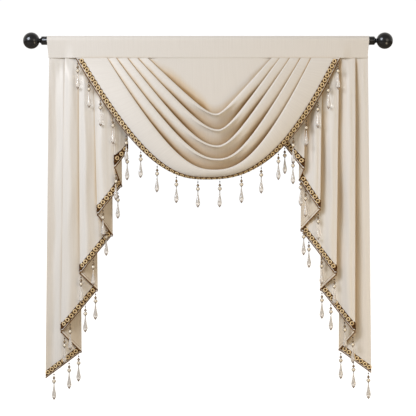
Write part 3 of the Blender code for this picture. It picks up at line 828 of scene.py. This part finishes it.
def panelForward(rows, number, share, z):
    start, end = stretchEnds(rows, number, z, 1)
    if number % 2 == 1:
        room = tails["room"]["left" if rows[0][0] < 0.0 else "right"] * pleatOpening(z)
        return mix((end, start), smoothStep(1.0 - share, 0.0, 1.0)) + room * math.sin(math.pi * share)
    if rows[number][6] is None:
        return mix((start, end), share)
    # the relief sways and swells a little on its way down
    first, second, third = (foldX(rows[number + step], z) for step in (0, 1, 2))
    covered = (third - first) / (second - first)
    sway, swell = (size * math.sin(2.0 * math.pi * z / length + start * number)
                   for size, length, start in (tails["sway"], tails["swell"]))
    power = tails["reliefPower"]["left" if first < 0.0 else "right"]
    swell = (1.0 + swell) * (pleatDepth(z) / tails["reliefDepth"]) ** power
    place = min(1.0, share / covered)
    place += 4.0 * sway * place * (1.0 - place)
    visible = start + swell * curveAt(panelCurves[rows[number][6]], place)
    if share <= covered:
        return visible
    return mix((visible, end), smoothStep(share, covered, 1.0))


def tailPoint(rows, column, z):
    place, angle = column
    number = min(int(place), len(rows) - 2)
    if angle is not None:
        return turnPoint(rows, int(place), angle, z)
    share = place - number
    start = turnPoint(rows, number, 90.0, z)
    end = turnPoint(rows, number + 1, -90.0, z)
    x = mix((start[0], end[0]), share)
    near = mix(stretchEnds(rows, number, z, 0), 0.5 * share + 0.5 * smoothStep(share, 0.0, 1.0))
    forward = mix((near, panelForward(rows, number, share, z)), openShare(x, z)) + gather(x, z)
    return np.array((x, forward, z))


def hemPlace(column):
    place, angle = column
    return place if angle is None else place + tails["turnReach"] * angle / 90.0


def tailHem(rows, column):
    return float(np.interp(hemPlace(column), range(len(rows)), [row[2] for row in rows]))


def hemStretch(rows, column):
    middles = [math.hypot(1.0, (far[2] - near[2]) / (far[1] - near[1])) for near, far in zip(rows, rows[1:])]
    return float(np.interp(hemPlace(column), np.arange(len(middles)) + 0.5, middles))


def tailNormal(rows, column, z):
    place, angle = column
    step = 0.01
    if angle is None:
        before = tailPoint(rows, (max(0.0, place - step), None), z)
        after = tailPoint(rows, (min(len(rows) - 1.0, place + step), None), z)
    else:
        before = turnPoint(rows, int(place), angle - 1.0, z)
        after = turnPoint(rows, int(place), angle + 1.0, z)
    along = after - before
    return unit(np.array((along[1], -along[0], 0.0)) * math.copysign(1.0, rows[0][0]))


def tailGrid(rows):
    columns = tailColumns(rows)
    grid = []
    for share in np.linspace(0.0, 1.0, tails["rows"]):
        line = []
        for column in columns:
            z = tuckZ + (tailHem(rows, column) - tuckZ) * share
            line.append(tailPoint(rows, column, z))
        grid.append(line)
    return np.array(grid)


tailCloths = {}
for side in ("left", "right"):
    cloth = clothSheet(f"tail_{side}_cloth", tailGrid(tails[side]), tails["cloth"], satinFace, satinReverse,
                       flip=side == "right")
    tailCloths[side] = cloth
    print("tail made:", side, len(cloth.data.polygons), "faces")

# the braid lies on the cloth's face just above the hem, and a cord hides the hem itself
braid = {"width": {"swag": 15.6, "left": 17.0, "right": 17.0},
         "inset": {"swag": 5.4, "left": 2.6, "right": 2.6},
         "thickness": 1.2, "end": 0.994, "off": 0.6 + 0.3 + 0.6, "lines": 5, "columns": 241, "guideStep": 1.5,
         "ringMargin": (8.8, 20.0), "shortest": 45.0, "cordMargin": 11.0, "shortestCord": 4.0,
         "pitch": 20.0, "outline": 8.8, "outlineCord": 1.1, "outlineBow": 0.4, "finePoints": 9.0,
         "ring": 5.8, "ringCord": 2.3, "ringShape": (1.0, 1.13, 0.7), "lift": 1.5,
         "hemCord": 2.0, "hemDrop": 1.6, "hemFrom": 0.96, "bandKeys": 25,
         "cordSides": 6, "ringSides": 7, "ringPoints": 16}
drops = {"onSwag": 18, "margin": 15.0, "clearance": 10.0, "beside": 8.0, "tip": 107.0, "thread": 0.5,
         "rootRise": 3.0, "off": (0.3, 0.5), "hang": 1.0, "lookFrom": 10.0,
         "threadStops": ((8.0, 0.8), (12.0, 1.0), (48.0, 1.0)), "spin": math.pi, "lean": 0.012, "seed": 7,
         "hemKeys": 401, "lookKeys": 12, "lookRows": 6, "threadSides": 6}


def bandShare(t, distance):
    # the place on the lowest band at this distance from the hem, along the cloth
    shares = np.linspace(1.0, 0.0, braid["bandKeys"])
    fromHem = lengthsAlong(np.array([lowestBand(t, share) for share in shares]))
    return float(np.interp(distance, fromHem, shares))


def swagNormal(t, share):
    step = 0.01
    along = lowestBand(min(1.0, t + step), share) - lowestBand(max(-1.0, t - step), share)
    across = lowestBand(t, min(1.0, share + step)) - lowestBand(t, share - step)
    normal = unit(np.cross(along, across))
    # the face looks forward, and down where the hem rolls under
    return normal if normal[1] - 0.5 * normal[2] > 0.0 else -normal


def braidPoint(name, key, distance, off):
    # key: t on the swag, or a column of a tail; distance: up the cloth from its hem
    if name == "swag":
        share = bandShare(key, distance)
        return lowestBand(key, share) + off * swagNormal(key, share)
    rows = tails[name]
    z = tailHem(rows, key) + distance * hemStretch(rows, key)
    return tailPoint(rows, key, z) + off * tailNormal(rows, key, z)


def braidKeys(name, count):
    if name == "swag":
        return np.clip(swagColumns(count), -braid["end"], braid["end"])
    return tailColumns(tails[name])


def clothBehind(rows, x, highZ, lowZ):
    # how far out the tail's cloth comes behind a drop that hangs here
    reach = None
    keys = np.linspace(0.0, len(rows) - 1.0, drops["lookKeys"] * len(rows))
    for z in np.linspace(highZ, lowZ, drops["lookRows"]):
        spots = [tailPoint(rows, (key, None), z) for key in keys]
        hems = [tailHem(rows, (key, None)) for key in keys]
        for first, second, hem in zip(spots, spots[1:], hems):
            low, high = sorted((first[0], second[0]))
            if hem < z and low - drops["beside"] <= x <= high + drops["beside"]:
                near = max(first[1], second[1])
                reach = near if reach is None else max(reach, near)
    return reach


def dropForward(spot, start):
    rows = tails["left"] if spot[0] < 0.0 else tails["right"]
    behind = clothBehind(rows, spot[0], spot[2] - start, spot[2] - drops["tip"])
    return spot[1] if behind is None else max(spot[1], behind + drops["clearance"])


def swagDropPlaces():
    keys = np.linspace(-1.0, 1.0, drops["hemKeys"])
    lengths = lengthsAlong(np.array([lowestBand(key, 1.0) for key in keys]))
    wanted = np.linspace(drops["margin"], lengths[-1] - drops["margin"], drops["onSwag"])
    return np.interp(wanted, lengths, keys)


def braidStrip(name):
    low = braid["inset"][name]
    lines = np.linspace(low + braid["width"][name], low, braid["lines"])
    keys = braidKeys(name, braid["columns"])
    return np.array([[braidPoint(name, key, line, braid["off"]) for key in keys] for line in lines])


def pathMesh(name, spots, edges=()):
    mesh = bpy.data.meshes.new(name)
    mesh.from_pydata(np.asarray(spots).tolist(), edges, [])
    return linked(name, mesh)


def chain(start, count):
    return [(start + number, start + number + 1) for number in range(count - 1)]


def guideMesh(name, runs):
    # each run: its points, the way across the braid, the way out of it, and whether rings sit on it
    edges = []
    start = 0
    for run in runs:
        edges += chain(start, len(run[0]))
        start += len(run[0])
    spots, sides, faces = (np.concatenate([run[field] for run in runs]) for field in range(3))
    guide = pathMesh(name, spots, edges)
    store(guide.data, "side", "FLOAT_VECTOR", sides)
    store(guide.data, "face", "FLOAT_VECTOR", faces)
    store(guide.data, "ringed", "BOOLEAN", np.repeat([run[3] for run in runs], [len(run[0]) for run in runs]))
    return guide


def braidRuns(name, line, across, out):
    # rings stay on the flat stretches, and the cords stop short of the turns that close on the braid
    free, tight = braid["ringMargin"]
    if name == "swag":
        runs = [(0, len(line), free, free, True), (0, len(line), 0.0, 0.0, False)]
    else:
        columns = tailColumns(tails[name])
        count = len(tails[name]) - 1
        runs = []
        for stretch in range(count):
            inside = [number for number, column in enumerate(columns) if column[1] is None
                      and stretch <= column[0] <= stretch + 1]
            ends = (tight, tight) if stretch % 2 else (free, tight)
            runs.append((inside[0], inside[-1] + 1, *ends, True))
        for first in range(-1, count, 2):
            inside = [number for number, column in enumerate(columns) if first <= column[0] <= first + 2
                      and not (column[1] is not None and int(column[0]) % 2)]
            ends = (0.0 if first < 0 else braid["cordMargin"],
                    0.0 if first + 2 > count else braid["cordMargin"])
            runs.append((inside[0], inside[-1] + 1, *ends, False))
    found = []
    for first, last, before, after, ringed in runs:
        lengths = lengthsAlong(line[first:last])
        shortest = braid["shortest"] if ringed else braid["shortestCord"]
        if lengths[-1] < (before + after + shortest) * mm:
            continue
        points = max(2, int(lengths[-1] / (braid["guideStep"] * mm)))
        wanted = np.linspace(before * mm, lengths[-1] - after * mm, points)
        parts = [np.array([np.interp(wanted, lengths, values[first:last][:, axis]) for axis in range(3)]).T
                 for values in (line, across, out)]
        found.append((*parts, ringed))
    return found


def geometryTree(name, sizes):
    inputs = [("Geometry", "NodeSocketGeometry", None)]
    inputs += [(label, "NodeSocketFloat", value) for label, value in sizes.items()]
    return newTree(name, "GeometryNodeTree", inputs, (("Geometry", "NodeSocketGeometry"),))


def scaled(tree, vector, factor):
    return addNode(tree, "ShaderNodeVectorMath", {0: vector, "Scale": factor}, operation="SCALE").outputs[0]


def named(tree, label, kind="FLOAT"):
    return addNode(tree, "GeometryNodeInputNamedAttribute", {"Name": label}, data_type=kind).outputs[0]


def marked(tree, geometry, label, value):
    values = {"Geometry": geometry, "Name": label, "Value": value}
    node = addNode(tree, "GeometryNodeStoreNamedAttribute", values, data_type="FLOAT", domain="POINT")
    return node.outputs[0]


def moved(tree, geometry, offset):
    return addNode(tree, "GeometryNodeSetPosition", {"Geometry": geometry, "Offset": offset}).outputs[0]


def circle(tree, radius, points):
    values = {"Radius": radius, "Resolution": points}
    return addNode(tree, "GeometryNodeCurvePrimitiveCircle", values).outputs[0]


def swept(tree, path, profile, closed=False):
    values = {"Curve": path, "Profile Curve": profile, "Fill Caps": closed}
    return addNode(tree, "GeometryNodeCurveToMesh", values).outputs[0]


def joined(tree, shapes):
    join = addNode(tree, "GeometryNodeJoinGeometry")
    for shape in shapes:
        tree.links.new(shape, join.inputs[0])
    return join.outputs[0]


def realPainted(tree, geometry, material):
    real = addNode(tree, "GeometryNodeRealizeInstances", {0: geometry}).outputs[0]
    return addNode(tree, "GeometryNodeSetMaterial", {"Geometry": real, "Material": material}).outputs[0]


def makeBraidTree():
    # two bowed cords along the braid's edges, and a row of rings between them
    sizeKeys = {"Pitch": "pitch", "Lift": "lift", "Ring": "ring", "Ring Cord": "ringCord",
                "Outline": "outline", "Outline Cord": "outlineCord"}
    tree, sizes, result = geometryTree(
        "scrollBraid", {label: braid[key] * mm for label, key in sizeKeys.items()})
    side = named(tree, "side", "FLOAT_VECTOR")
    face = named(tree, "face", "FLOAT_VECTOR")
    ringed = named(tree, "ringed", "BOOLEAN")
    sort = addNode(tree, "GeometryNodeSeparateGeometry",
                   {"Geometry": sizes["Geometry"], "Selection": ringed}, domain="POINT").outputs
    cordPath, ringPath = (addNode(tree, "GeometryNodeMeshToCurve", {"Mesh": sort[kind]}).outputs[0]
                          for kind in ("Inverted", "Selection"))
    step = mathNode(tree, "DIVIDE", sizes["Pitch"], braid["finePoints"])
    fine = addNode(tree, "GeometryNodeResampleCurve", {"Curve": cordPath, "Length": step}, mode="LENGTH")
    spline = addNode(tree, "GeometryNodeSplineParameter").outputs
    cordLine = marked(tree, fine.outputs[0], "along", spline["Length"])
    cordRound = circle(tree, sizes["Outline Cord"], braid["cordSides"])
    cordRound = marked(tree, cordRound, "around", spline["Factor"])
    phase = mathNode(tree, "MULTIPLY", mathNode(tree, "DIVIDE", spline["Length"], sizes["Pitch"]), math.pi)
    hump = mathNode(tree, "ABSOLUTE", mathNode(tree, "COSINE", phase))
    bow = mathNode(tree, "MULTIPLY_ADD", hump, braid["outlineBow"], 1.0 - braid["outlineBow"])
    shapes = []
    for way in (1.0, -1.0):
        rim = mathNode(tree, "MULTIPLY", mathNode(tree, "MULTIPLY", sizes["Outline"], bow), way)
        offsets = {0: scaled(tree, side, rim), 1: scaled(tree, face, sizes["Outline Cord"])}
        move = addNode(tree, "ShaderNodeVectorMath", offsets, operation="ADD").outputs[0]
        cord = swept(tree, moved(tree, cordLine, move), cordRound, closed=True)
        shapes.append(realPainted(tree, cord, brownYarn))

    length = addNode(tree, "GeometryNodeSplineLength").outputs["Length"]
    gaps = mathNode(tree, "ROUND", mathNode(tree, "DIVIDE", length, sizes["Pitch"]))
    even = addNode(tree, "GeometryNodeResampleCurve",
                   {"Curve": ringPath, "Count": mathNode(tree, "ADD", gaps, 1.0)}, mode="COUNT")
    spots = addNode(tree, "GeometryNodeCurveToPoints", {"Curve": even.outputs[0]}, mode="EVALUATED")
    faceUp = addNode(tree, "FunctionNodeAlignRotationToVector", {"Vector": face}, axis="Z")
    tangent = addNode(tree, "FunctionNodeAlignRotationToVector",
                      {"Rotation": faceUp.outputs[0], "Vector": side}, axis="X", pivot_axis="Z")
    hoop = marked(tree, circle(tree, sizes["Ring"], braid["ringPoints"]), "along", spline["Length"])
    rings = addNode(tree, "GeometryNodeInstanceOnPoints", {
        "Points": moved(tree, spots.outputs["Points"], scaled(tree, face, sizes["Lift"])),
        "Instance": swept(tree, hoop, circle(tree, sizes["Ring Cord"], braid["ringSides"])),
        "Rotation": tangent.outputs[0], "Scale": braid["ringShape"]})
    shapes.append(realPainted(tree, rings.outputs[0], goldYarn))
    smooth = addNode(tree, "GeometryNodeSetShadeSmooth", {0: joined(tree, shapes)})
    feed(tree, result, {0: smooth.outputs[0]})
    return tree


def baked(guide, tree, name, values):
    # the nodes' result as a plain mesh of its own, and the guide goes
    modifier = guide.modifiers.new("nodes", "NODES")
    modifier.node_group = tree
    for item in tree.interface.items_tree:
        if item.name in values:
            modifier[item.identifier] = values[item.name]
    seen = guide.evaluated_get(bpy.context.evaluated_depsgraph_get())
    mesh = bpy.data.meshes.new_from_object(seen)
    mesh.name = name
    bpy.data.objects.remove(guide, do_unlink=True)
    return linked(name, mesh)


braidTree = makeBraidTree()


def roundProfile(middle, radius, halfHeight, steps):
    profile = []
    for step in range(steps + 1):
        angle = math.pi * step / steps
        radiusHere = radius * math.sin(angle) if 0 < step < steps else 0.0
        profile.append((middle + halfHeight * math.cos(angle), radiusHere))
    return profile


beadShapes = (
    # name, profile (z below the hem, radius), sides, finish
    ("seed", roundProfile(-12.0, 2.7, 2.5, 8), 12, "seedBead"),
    ("bicone", ((-18.0, 0.0), (-18.6, 1.6), (-24.5, 5.3), (-25.5, 5.3), (-29.4, 1.8), (-29.8, 0.0)),
     14, "goldBead"),
    ("round", roundProfile(-37.0, 7.2, 6.8, 12), 20, "lustreBead"),
    ("collar", roundProfile(-45.2, 3.4, 1.3, 6), 14, "goldBead"),
    ("teardrop", ((-46.8, 0.0), (-47.0, 1.5), (-52.0, 1.9), (-58.0, 2.6), (-65.0, 3.6), (-73.0, 5.0),
                  (-81.0, 6.7), (-87.0, 7.7), (-91.0, 8.0), (-95.0, 7.3), (-97.5, 6.3), (-97.6, 0.0)),
     16, "crystal"),
    ("tip", ((-97.7, 0.0), (-97.8, 6.2), (-101.0, 4.4), (-104.0, 2.5), (-107.0, 0.0)), 16, "amberTip"),
)


def upright(z, across, along):
    return across * mm, along * mm, z * mm


def makeDropTree(parts):
    tree, sizes, result = geometryTree("beadDrops", {"Bead Size": 1.0})
    turn = addNode(tree, "ShaderNodeCombineXYZ", {1: named(tree, "lean"), 2: named(tree, "spin")}).outputs[0]
    sides = sizes["Bead Size"]
    size = addNode(tree, "ShaderNodeCombineXYZ", {0: sides, 1: sides, 2: 1.0}).outputs[0]
    shapes = []
    for part in parts:
        shape = addNode(tree, "GeometryNodeObjectInfo", {"Object": part}).outputs["Geometry"]
        hang = addNode(tree, "GeometryNodeInstanceOnPoints", {
            "Points": sizes["Geometry"], "Instance": shape, "Rotation": turn, "Scale": size}).outputs[0]
        shapes.append(realPainted(tree, hang, part.data.materials[0]))
    feed(tree, result, {0: joined(tree, shapes)})
    return tree


def makeThreadTree():
    tree, sizes, result = geometryTree("dropThreads", {"Thread": drops["thread"] * mm})
    path = addNode(tree, "GeometryNodeMeshToCurve", {"Mesh": sizes["Geometry"]}).outputs[0]
    thread = swept(tree, path, circle(tree, sizes["Thread"], drops["threadSides"]), closed=True)
    feed(tree, result, {0: realPainted(tree, thread, brownYarn)})
    return tree


beadParts = [turnedShape("bead_" + name, profile, sides, upright, beadGlass[finish])
             for name, profile, sides, finish in beadShapes]
dropTree = makeDropTree(beadParts)
threadTree = makeThreadTree()
chance = np.random.default_rng(drops["seed"])


def hemLine(name):
    drop = braid["hemDrop"]
    keys = braidKeys(name, swag["columns"])
    if name == "swag":
        starts, ends = (np.array([lowestBand(t, share) for t in keys]) for share in (braid["hemFrom"], 1.0))
        return ends + drop * unit(ends - starts)
    return np.array([braidPoint(name, key, -drop, 0.0) for key in keys])


def dropPlaces(name):
    # where each thread is sewn to the braid, where it leaves the hem, and how far out its drop hangs
    rootLine = braid["inset"][name] + drops["rootRise"]
    rootOff, edgeOff = (braid["off"] + off for off in drops["off"])
    if name == "swag":
        keys, hang, lookFrom = swagDropPlaces(), 0.0, 0.0
    else:
        keys = [(number + share, None) for number, row in enumerate(tails[name]) for share in row[5]]
        hang, lookFrom = drops["hang"], drops["lookFrom"]
    roots = [braidPoint(name, key, rootLine, rootOff) for key in keys]
    ends = [braidPoint(name, key, -hang, edgeOff) for key in keys]
    return [(root, edge, dropForward(edge, lookFrom)) for root, edge in zip(roots, ends)]


def threadGuide(name, found):
    spots, edges = [], []
    for root, edge, forward in found:
        line = [root, edge]
        line += [(edge[0], mix((edge[1], forward), share), edge[2] - down)
                 for down, share in drops["threadStops"]]
        edges += chain(len(spots), len(line))
        spots += line
    return pathMesh(name + "Line", placed(spots), edges)


def makeTrim(name):
    strip = braidStrip(name)
    flip = name == "right"
    ground = clothSheet(f"{name}_braid_ground", strip, braid["thickness"], braidGround, braidGround, flip)
    middle = len(strip) // 2
    across = unit(placed(strip[0] - strip[-1]))
    out = gridNormals(placed(strip))[middle] * (-1.0 if flip else 1.0)
    guide = guideMesh(name + "Guide", braidRuns(name, placed(strip[middle]), across, out))
    scroll = baked(guide, braidTree, f"{name}_braid_scroll", {"Pitch": braid["pitch"] * mm})
    found = dropPlaces(name)
    guide = threadGuide(name, found)
    threads = baked(guide, threadTree, f"{name}_drop_threads", {"Thread": drops["thread"] * mm})
    spots = placed(hemLine(name))
    guide = pathMesh(name + "Hem", spots, chain(0, len(spots)))
    cord = baked(guide, threadTree, f"{name}_hem_cord", {"Thread": braid["hemCord"] * mm})
    guide = pathMesh(name + "Points", placed([(edge[0], forward, edge[2]) for _, edge, forward in found]))
    for label in ("spin", "lean"):
        store(guide.data, label, "FLOAT", chance.uniform(-drops[label], drops[label], len(found)))
    beads = baked(guide, dropTree, f"{name}_bead_drops", {"Bead Size": 1.0})
    return ground, scroll, threads, cord, beads


trims = {}
for name, node in (("swag", "swag_fringe"), ("left", "tail_left_fringe"), ("right", "tail_right_fringe")):
    trims[name] = makeTrim(name)
    for piece in trims[name]:
        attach(piece, "root")
    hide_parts(node)
    print("trim made:", name, [len(piece.data.polygons) for piece in trims[name]])
for part in beadParts:
    bpy.data.objects.remove(part, do_unlink=True)

# painted shade: how deep each point of the cloth lies in the folds, found by rays; the material darkens and
# browns its colour by it
shading = {
    "rays": 20, "reach": 0.07, "start": 0.0006, "stride": 3, "floor": 0.06, "halfWay": 0.3,
    # where the painted fold shade is weakened along one fold of the left tail
    "softFoldShade": (-0.549, 0.014, 0.6),  # x, half width and share taken off
    # painted shadow: the flat top of the swag is darkened beside its first fold, as if by that fold's shadow:
    # how much, how far off, and from where to where
    "ridgeShade": 0.45, "ridgeReach": 0.045, "ridgeFrom": (-0.19, -0.09), "ridgeTo": (-0.025, 0.015),
    # how strongly the painted fold shade darkens each piece, at the left and at the right
    "strength": {"header_band": (1.0, 1.0), "swag_cloth": (2.1, 1.5), "tail_left_cloth": (0.9, 0.9),
                 "tail_right_cloth": (2.0, 2.0)},
}


def rayDirections(count):
    spots = []
    for number in range(count):
        height = math.sqrt(1.0 - (number + 0.5) / count)
        angle = number * math.pi * (3.0 - math.sqrt(5.0))
        flat = math.sqrt(1.0 - height * height)
        spots.append((flat * math.cos(angle), flat * math.sin(angle), height))
    return np.array(spots)


def solidTree(pieces):
    vertices, faces = [], []
    for piece in pieces:
        start = len(vertices)
        vertices += [tuple(vertex.co) for vertex in piece.data.vertices]
        faces += [tuple(start + corner for corner in face.vertices) for face in piece.data.polygons]
    return BVHTree.FromPolygons(vertices, faces)


def vectors(items, field, shape):
    values = np.zeros(len(items) * 3, dtype=np.float32)
    items.foreach_get(field, values)
    return values.reshape(shape).astype(float)


def blockedShare(tree, spot, normal, rays):
    helper = np.array((1.0, 0.0, 0.0)) if abs(normal[0]) < 0.8 else np.array((0.0, 1.0, 0.0))
    first = unit(np.cross(normal, helper))
    second = np.cross(normal, first)
    start = Vector(spot + shading["start"] * normal)
    blocked = 0.0
    for ray in rays:
        way = Vector(ray[0] * first + ray[1] * second + ray[2] * normal)
        hit = tree.ray_cast(start, way, shading["reach"])
        if hit[0] is not None:
            blocked += 1.0 - hit[3] / shading["reach"]
    return blocked / len(rays)


def everyFew(count):
    return np.unique(np.append(np.arange(0, count, shading["stride"]), count - 1))


def foldShade(pieces, blockers):
    tree = solidTree(blockers)
    rays = rayDirections(shading["rays"])
    for piece in pieces:
        mesh = piece.data
        columns = piece["columns"]
        rows = len(mesh.vertices) // 2 // columns
        normals = vectors(mesh.vertex_normals, "vector", (2, rows, columns, 3))
        spots = vectors(mesh.vertices, "co", (2, rows, columns, 3))
        rowKeys, columnKeys = everyFew(rows), everyFew(columns)
        shade = np.zeros((2, rows, columns))
        for layer in (0, 1):
            coarse = [[blockedShare(tree, spots[layer, row, column], normals[layer, row, column], rays)
                       for column in columnKeys] for row in rowKeys]
            byRow = np.array([np.interp(np.arange(columns), columnKeys, line) for line in coarse])
            shade[layer] = np.array([np.interp(np.arange(rows), rowKeys, line) for line in byRow.T]).T
        # painted shadow of the first fold on the swag's flat top, on the face side only
        if piece.name == "swag_cloth":
            flat = spots[0, :swag["bandSteps"] + 2]
            near = np.exp(-(np.linalg.norm(flat - flat[-1:], axis=2) / shading["ridgeReach"]) ** 2)
            rise, fade = (smoothStep(flat[..., 0], *shading[key]) for key in ("ridgeFrom", "ridgeTo"))
            shade[0, :swag["bandSteps"] + 2] += shading["ridgeShade"] * rise * (1.0 - fade) * near
        # the painted fold shade is weakened along one fold of the left tail
        if piece.name == "tail_left_cloth":
            middle, reach, cut = shading["softFoldShade"]
            shade *= 1.0 - cut * np.exp(-((spots[..., 0] - middle) / reach) ** 2)
        # the painted fold shade's strength changes from a piece's left to its right
        strength = mix(shading["strength"][piece.name],
                       smoothStep(spots[..., 0], -shading["halfWay"], shading["halfWay"]))
        store(mesh, "foldShade", "FLOAT", np.clip((shade - shading["floor"]) * strength, 0.0, 1.0))
        print("fold shade:", piece.name, "mean", round(float(shade.mean()), 3))


clothPieces = [headerBand, swagCloth, tailCloths["left"], tailCloths["right"]]
foldShade(clothPieces, clothPieces[1:])

for piece, node in zip(clothPieces, ("header", "swag", "tail_left", "tail_right")):
    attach(piece, "root")
    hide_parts(node)


studio = {
    "lens": 200.0, "sensor": 36.0, "frameWidth": 1.5513, "middleZ": -0.6242, "farthest": 100.0,
    "aim": (0.0, 0.0, -0.5),
    # power, place, size and colour of each light
    "lights": {"keyLight": (123.0, (-2.5, -2.5, 1.35), 2.1, (0.82, 0.885, 1.0)),
               "fillLight": (17.0, (2.4, -3.0, 0.2), 2.4, (1.0, 0.90, 0.76)),
               "lowLight": (7.0, (1.25, -1.2, -1.2), 0.8, (1.0, 0.84, 0.62))},
    "backdrop": 1.05,
    "behind": (-0.2, 0.9, 0.42, 1.0),
    "above": (0.0, 0.8, 0.0, -0.15),
    "warm": (1.0, 0.70, 0.32, 1.0),
    "glossLight": (1.0, 0.97, 0.93, 1.0),
    "floorZ": -1.46, "floorHalf": 40.0, "floorColour": (0.36, 0.33, 0.28, 1.0),
}
white = (1.0, 1.0, 1.0, 1.0)


def makeCamera():
    data = bpy.data.cameras.new("camera")
    data.lens = studio["lens"]
    data.sensor_width = studio["sensor"]
    data.clip_end = studio["farthest"]
    camera = linked("camera", data)
    camera.location = (0.0, -studio["frameWidth"] * studio["lens"] / studio["sensor"], studio["middleZ"])
    camera.rotation_euler = (math.radians(90.0), 0.0, 0.0)
    bpy.context.scene.camera = camera


def makeLamp(name, power, place, size, colour):
    data = bpy.data.lights.new(name, "AREA")
    data.energy = power
    data.shape = "DISK"
    data.size = size
    data.color = colour
    lamp = linked(name, data)
    lamp.location = place
    lamp.rotation_euler = (Vector(studio["aim"]) - Vector(place)).to_track_quat("-Z", "Y").to_euler()


def makeWorld():
    # the camera sees white, and the cloth is lit more strongly from behind than from the front
    world = bpy.data.worlds.new("studio")
    world.use_nodes = True
    tree = world.node_tree
    seen = tree.nodes["Background"]
    feed(tree, seen, {"Color": white, "Strength": studio["backdrop"]})
    place = addNode(tree, "ShaderNodeTexCoord").outputs["Generated"]
    ways = addNode(tree, "ShaderNodeSeparateXYZ", {0: place}).outputs
    behind = ranged(tree, ways[1], studio["behind"][:2], studio["behind"][2:])
    above = ranged(tree, ways[2], studio["above"][:2], studio["above"][2:])
    warmth = mixColour(tree, behind, studio["warm"], white)
    path = addNode(tree, "ShaderNodeLightPath").outputs
    lit = addNode(tree, "ShaderNodeBackground", {
        "Color": mixColour(tree, path["Is Diffuse Ray"], studio["glossLight"], warmth),
        "Strength": mathNode(tree, "ADD", behind, above)})
    blend = addNode(tree, "ShaderNodeMixShader",
                    {0: path["Is Camera Ray"], 1: lit.outputs[0], 2: seen.outputs[0]})
    feed(tree, tree.nodes["World Output"], {"Surface": blend.outputs[0]})
    world.cycles.sampling_method = "NONE"
    bpy.context.scene.world = world


def makeFloor():
    mesh = bpy.data.meshes.new("floor")
    half = studio["floorHalf"]
    corners = ((-half, -half), (half, -half), (half, half), (-half, half))
    mesh.from_pydata([(x, y, studio["floorZ"]) for x, y in corners], [], [(0, 1, 2, 3)])
    material, tree, shader = newMaterial("floorPaint")
    feed(tree, shader, {"Base Color": studio["floorColour"], "Roughness": 0.9, "Specular IOR Level": 0.0})
    # it glows for the camera alone, so that it looks as white as the backdrop
    seen = addNode(tree, "ShaderNodeLightPath").outputs["Is Camera Ray"]
    glow = addNode(tree, "ShaderNodeEmission", {"Strength": seen}).outputs[0]
    total = addNode(tree, "ShaderNodeAddShader", {0: shader.outputs[0], 1: glow})
    feed(tree, tree.nodes["Material Output"], {"Surface": total.outputs[0]})
    mesh.materials.append(material)
    floor = linked("floor", mesh)


makeCamera()
for name, light in studio["lights"].items():
    makeLamp(name, *light)
makeWorld()
makeFloor()
bpy.context.scene.view_settings.view_transform = "Standard"
print("studio made")
